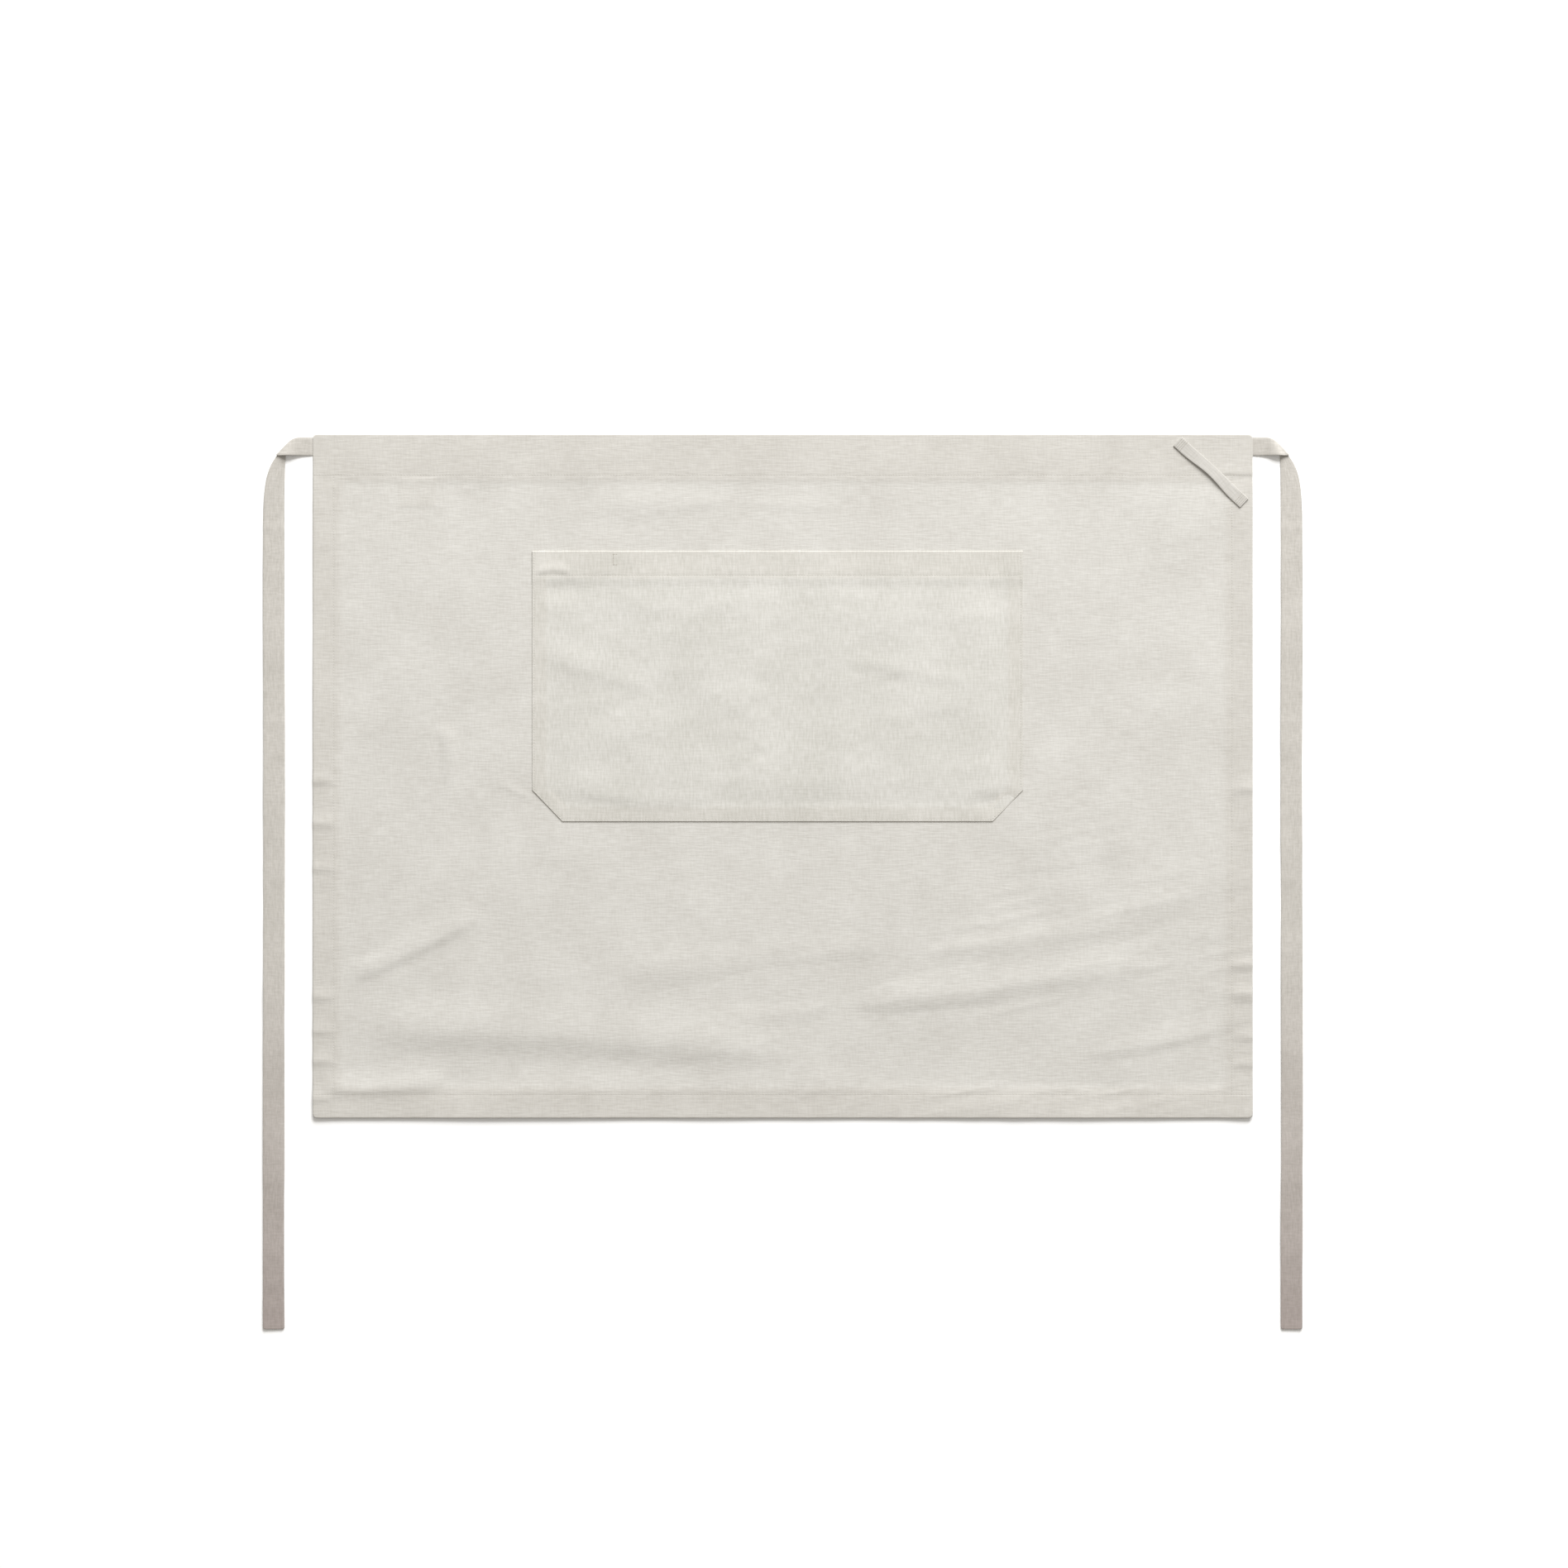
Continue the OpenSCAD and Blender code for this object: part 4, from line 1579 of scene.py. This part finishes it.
        out_of_hem = smoothstep(0, 3 * MM, low_out)
        z = self.tab_height((high_out + low_out) / 2)
        z = z - (self.run_z - 0.42 * MM) * (1 - out_of_hem)
        thick = 0.55 * MM + (self.thickness - 0.55 * MM) * out_of_hem
        pinched = self.run_z + 2 * self.pinch
        high_edge = self.place(high_out, high_down, z + (pinched - z) * turned)
        low_edge = self.place(low_out, self.low, z + self.standing(low_out))
        normal = tape_normals((high_edge + low_edge) / 2, high_edge - low_edge)
        normal = normal * (1 - turned[:, None]) + UP * turned[:, None]
        normal /= np.linalg.norm(normal, axis=1, keepdims=True)
        self.tab_area = (length + self.tab_end) * self.tucked + (
            (high_out[-1] + low_out[-1]) / 2 - self.tab_end
        ) * (self.tucked + self.low - upper[1]) / 2
        return Ribbon(
            f"{self.side.word}_tie_tape_tab", low_edge, high_edge, normal, thick,
            np.column_stack([low_out, high_out]),
            np.column_stack([
                np.full(len(low_out), -self.tucked / 2), self.low - self.tucked / 2 - high_down,
            ]),
        ).build(self.finishes.tie)

    def corner(self) -> bpy.types.Object:
        """Makes the roll round the slanting crease, and the swing below it into the lane."""
        crease = self.crease()
        inner, outer, heights, normal = [], [], [], []  # one entry for each crosswise line
        for angle in np.linspace(0, math.pi, 11):
            inner.append(tuple(crease[0] + AWAY * self.pinch * math.sin(angle)))
            outer.append(tuple(crease[1] + AWAY * self.roll * math.sin(angle)))
            heights.append(tuple(
                self.run_z + radius * (1 + math.cos(angle)) for radius in (self.pinch, self.roll)
            ))
            ahead = np.array([self.side.value * AWAY[0], -AWAY[1], 0.0])
            normal.append(ahead * math.sin(angle) + UP * math.cos(angle))
        rolled = len(inner)
        lane_in, lane_out = self.lane - self.width / 2, self.lane + self.width / 2
        under = self.low + 1.5 * MM
        for down in np.append(np.arange(under, self.split - 1 * MM, 2 * MM), self.split):
            inner.append((float(self.swung(self.inner_out, lane_in, down)), down))
            outer.append((float(self.swung(crease[1][0], lane_out, down)), down))
        for ends, start in ((inner, crease[0]), (outer, crease[1])):
            target = np.array(ends[rolled])
            steps = [tuple((1 - t) * start + t * target) for t in np.linspace(0, 1, 10)[1:-1]]
            ends[rolled:rolled] = steps
        rows = len(inner)
        heights += [(self.run_z, self.run_z)] * (rows - rolled)
        normal += [-UP] * (rows - rolled)
        inner, outer = np.array(inner), np.array(outer)

        # the map goes on from the tab's round the crease, and then down the run
        folded = np.arange(rows) >= rolled / 2
        along = [
            np.where(folded, self.crease_out + ends[:, 1] - self.below, ends[:, 0])
            for ends in (outer, inner)
        ]
        settle = smoothstep(rolled, rolled + 9, np.arange(rows))
        wide = self.tucked / 2 + settle * (self.width - self.tucked) / 2
        across_in = np.where(
            folded, np.minimum(self.crease_out + wide - inner[:, 0], wide),
            self.low - self.tucked / 2 - inner[:, 1],
        )
        across_in = across_in * (1 - settle) + wide * settle
        points = [
            self.place(ends[:, 0], ends[:, 1], height)
            for ends, height in zip((inner, outer), np.array(heights).T)
        ]
        centre = (points[0] + points[1]) / 2
        self.corner_length = float(np.linalg.norm(np.diff(centre, axis=0), axis=1).sum())
        return Ribbon(
            f"{self.side.word}_tie_tape_corner", points[1], points[0], np.array(normal),
            np.full(rows, self.thickness), np.stack(along, axis=1),
            np.stack([-wide, across_in], axis=1),
        ).build(self.finishes.tie)

    def run(self) -> bpy.types.Object:
        """Makes the long run, the soft bend half way down it, and the tie's end."""
        close = self.fold + np.arange(-4, 4.01, 0.3) * MM
        tip = self.tip - self.tip_round * (1 - np.sin(np.linspace(0, math.pi / 2, 7)))
        down = np.concatenate([
            np.arange(self.split, close[0], 3.5 * MM), close,
            np.arange(close[-1] + 2 * MM, tip[0] - 2 * MM, 3.5 * MM), tip,
        ])
        free = smoothstep(self.split, self.split + 60 * MM, down)
        at_fold = 1 - hump(down - self.fold, 25 * MM)
        seed = 40 + self.side.value
        sway = 0.55 * MM * free * soft_noise(down / 0.16, 0.3, seed)
        half = self.width / 2 + 0.22 * MM * free * soft_noise(down / 0.035, 0.6, seed)
        half = np.where(
            down > self.tip - self.tip_round,
            half - self.tip_round + np.sqrt(np.maximum(
                self.tip_round**2 - (self.tip_round - (self.tip - down)) ** 2, 0)),
            half,
        )
        wave = (0.35 * MM * free * at_fold) * (1 + soft_noise(down / 0.07, 0.1, seed))
        ruck = 0.12 * MM * free * at_fold * (1 + soft_noise(down / 0.011, 0.8, seed))
        mark = 0.45 * MM * hump(down - 90 * MM, 2.2 * MM)  # an old crease across the tape
        z = self.run_z + wave + ruck + mark
        lean = 0.25 * MM * free * at_fold * soft_noise(down / 0.045, 0.9, seed)
        inner = self.place(self.lane + sway - half, down, z + np.abs(lean) - lean)
        outer = self.place(self.lane + sway + half, down, z + np.abs(lean) + lean)
        normal = tape_normals(inner, outer - inner)
        thick = np.full(len(down), self.thickness)
        thick[-3:] *= (0.9, 0.75, 0.5)
        # painted shade: the tape darkens over its last stretch to the end, where the light falls
        # off
        far = np.clip((down - 470 * MM) / (self.tip - 470 * MM), 0, 1) ** 1.2
        return Ribbon(
            f"{self.side.word}_tie_tape_run", outer, inner, normal, thick,
            self.crease_out + down - self.below,
        ).build(self.finishes.tie, far)

    def build(self) -> None:
        """Makes the tie's three pieces."""
        word, top_y, edge = self.side.word, self.drape.high[1], self.drape.high[0]
        tab, corner, run = self.root_and_tab(), self.corner(), self.run()
        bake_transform(tab)
        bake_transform(corner)
        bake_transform(run)
        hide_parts(f"{word}_tie_root", f"{word}_tie_tab")
        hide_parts(f"{word}_tie_tab", f"{word}_tie_run")
        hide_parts(f"{word}_tie_run", f"{word}_tie_end")
        log.info("%s tie: tab, corner and run", word)


@dataclass
class Studio:
    """A plain white table in soft daylight from beyond the waist edge, seen from straight above."""

    camera_height: float = 3.546
    camera_shift: tuple[float, float] = (1.2 * MM, 93.5 * MM)
    lens: float = 85.0
    sensor: float = 36.0
    sky: float = 0.50
    key_power: float = 985.0
    key_size: tuple[float, float] = (4.6, 3.6)
    key_place: tuple[float, float, float] = (1.3, 6.1, 3.2)
    sky_tint: str = "#fffbf4"
    key_tint: str = "#fdfeff"
    table: str = "#f8f8f8"
    table_roughness: float = 0.9
    table_half: float = 9.0

    def build(self) -> None:
        """Makes the table, the light and the camera."""
        scene = bpy.context.scene
        scene.view_settings.view_transform = "Standard"
        h = self.table_half
        mesh = bpy.data.meshes.new("table")
        mesh.from_pydata([(-h, -h, 0), (h, -h, 0), (h, h, 0), (-h, h, 0)], [], [(0, 1, 2, 3)])
        material = bpy.data.materials.new("painted_table")
        material.use_nodes = True
        shader = material.node_tree.nodes["Principled BSDF"]
        shader.inputs["Base Color"].default_value = linear(self.table)
        shader.inputs["Roughness"].default_value = self.table_roughness
        shader.inputs["Specular IOR Level"].default_value = 0.1
        mesh.materials.append(material)
        table = bpy.data.objects.new("table", mesh)
        scene.collection.objects.link(table)

        world = bpy.data.worlds.new("soft_daylight")
        world.use_nodes = True
        background = world.node_tree.nodes["Background"]
        background.inputs["Color"].default_value = linear(self.sky_tint)
        background.inputs["Strength"].default_value = self.sky
        scene.world = world

        light = bpy.data.lights.new("window", "AREA")
        light.shape = "RECTANGLE"
        light.size, light.size_y = self.key_size
        light.energy = self.key_power
        light.color = linear(self.key_tint)[:3]
        window = bpy.data.objects.new("window", light)
        window.location = self.key_place
        aim = -np.array(self.key_place)
        window.rotation_euler = (
            math.atan2(math.hypot(aim[0], aim[1]), -aim[2]), 0,
            math.atan2(aim[1], aim[0]) - math.pi / 2,
        )
        scene.collection.objects.link(window)

        low, high = CAD_BOUNDS
        centre = (low + high) / 2
        view = bpy.data.cameras.new("from_above")
        view.lens, view.sensor_width = self.lens, self.sensor
        view.clip_end = 50
        camera = bpy.data.objects.new("from_above", view)
        camera.location = (
            centre.x + self.camera_shift[0], centre.y + self.camera_shift[1], self.camera_height
        )
        scene.collection.objects.link(camera)
        scene.camera = camera
        log.info("table, window light and camera")


def main() -> None:
    """Builds the studio and every piece of the apron, in order."""
    logging.basicConfig(level=logging.INFO, format="%(name)s: %(message)s")
    Studio().build()
    finishes = Finishes.build()
    stitching = Stitching()
    drape = Drape.from_frame()
    Panel(drape, finishes, stitching).build()
    Pocket(drape, finishes, stitching).build()
    HangingLoop(drape, finishes, stitching).build()
    for side in Side:
        Tie(side, drape, finishes).build()


if __name__ == "__main__":
    main()
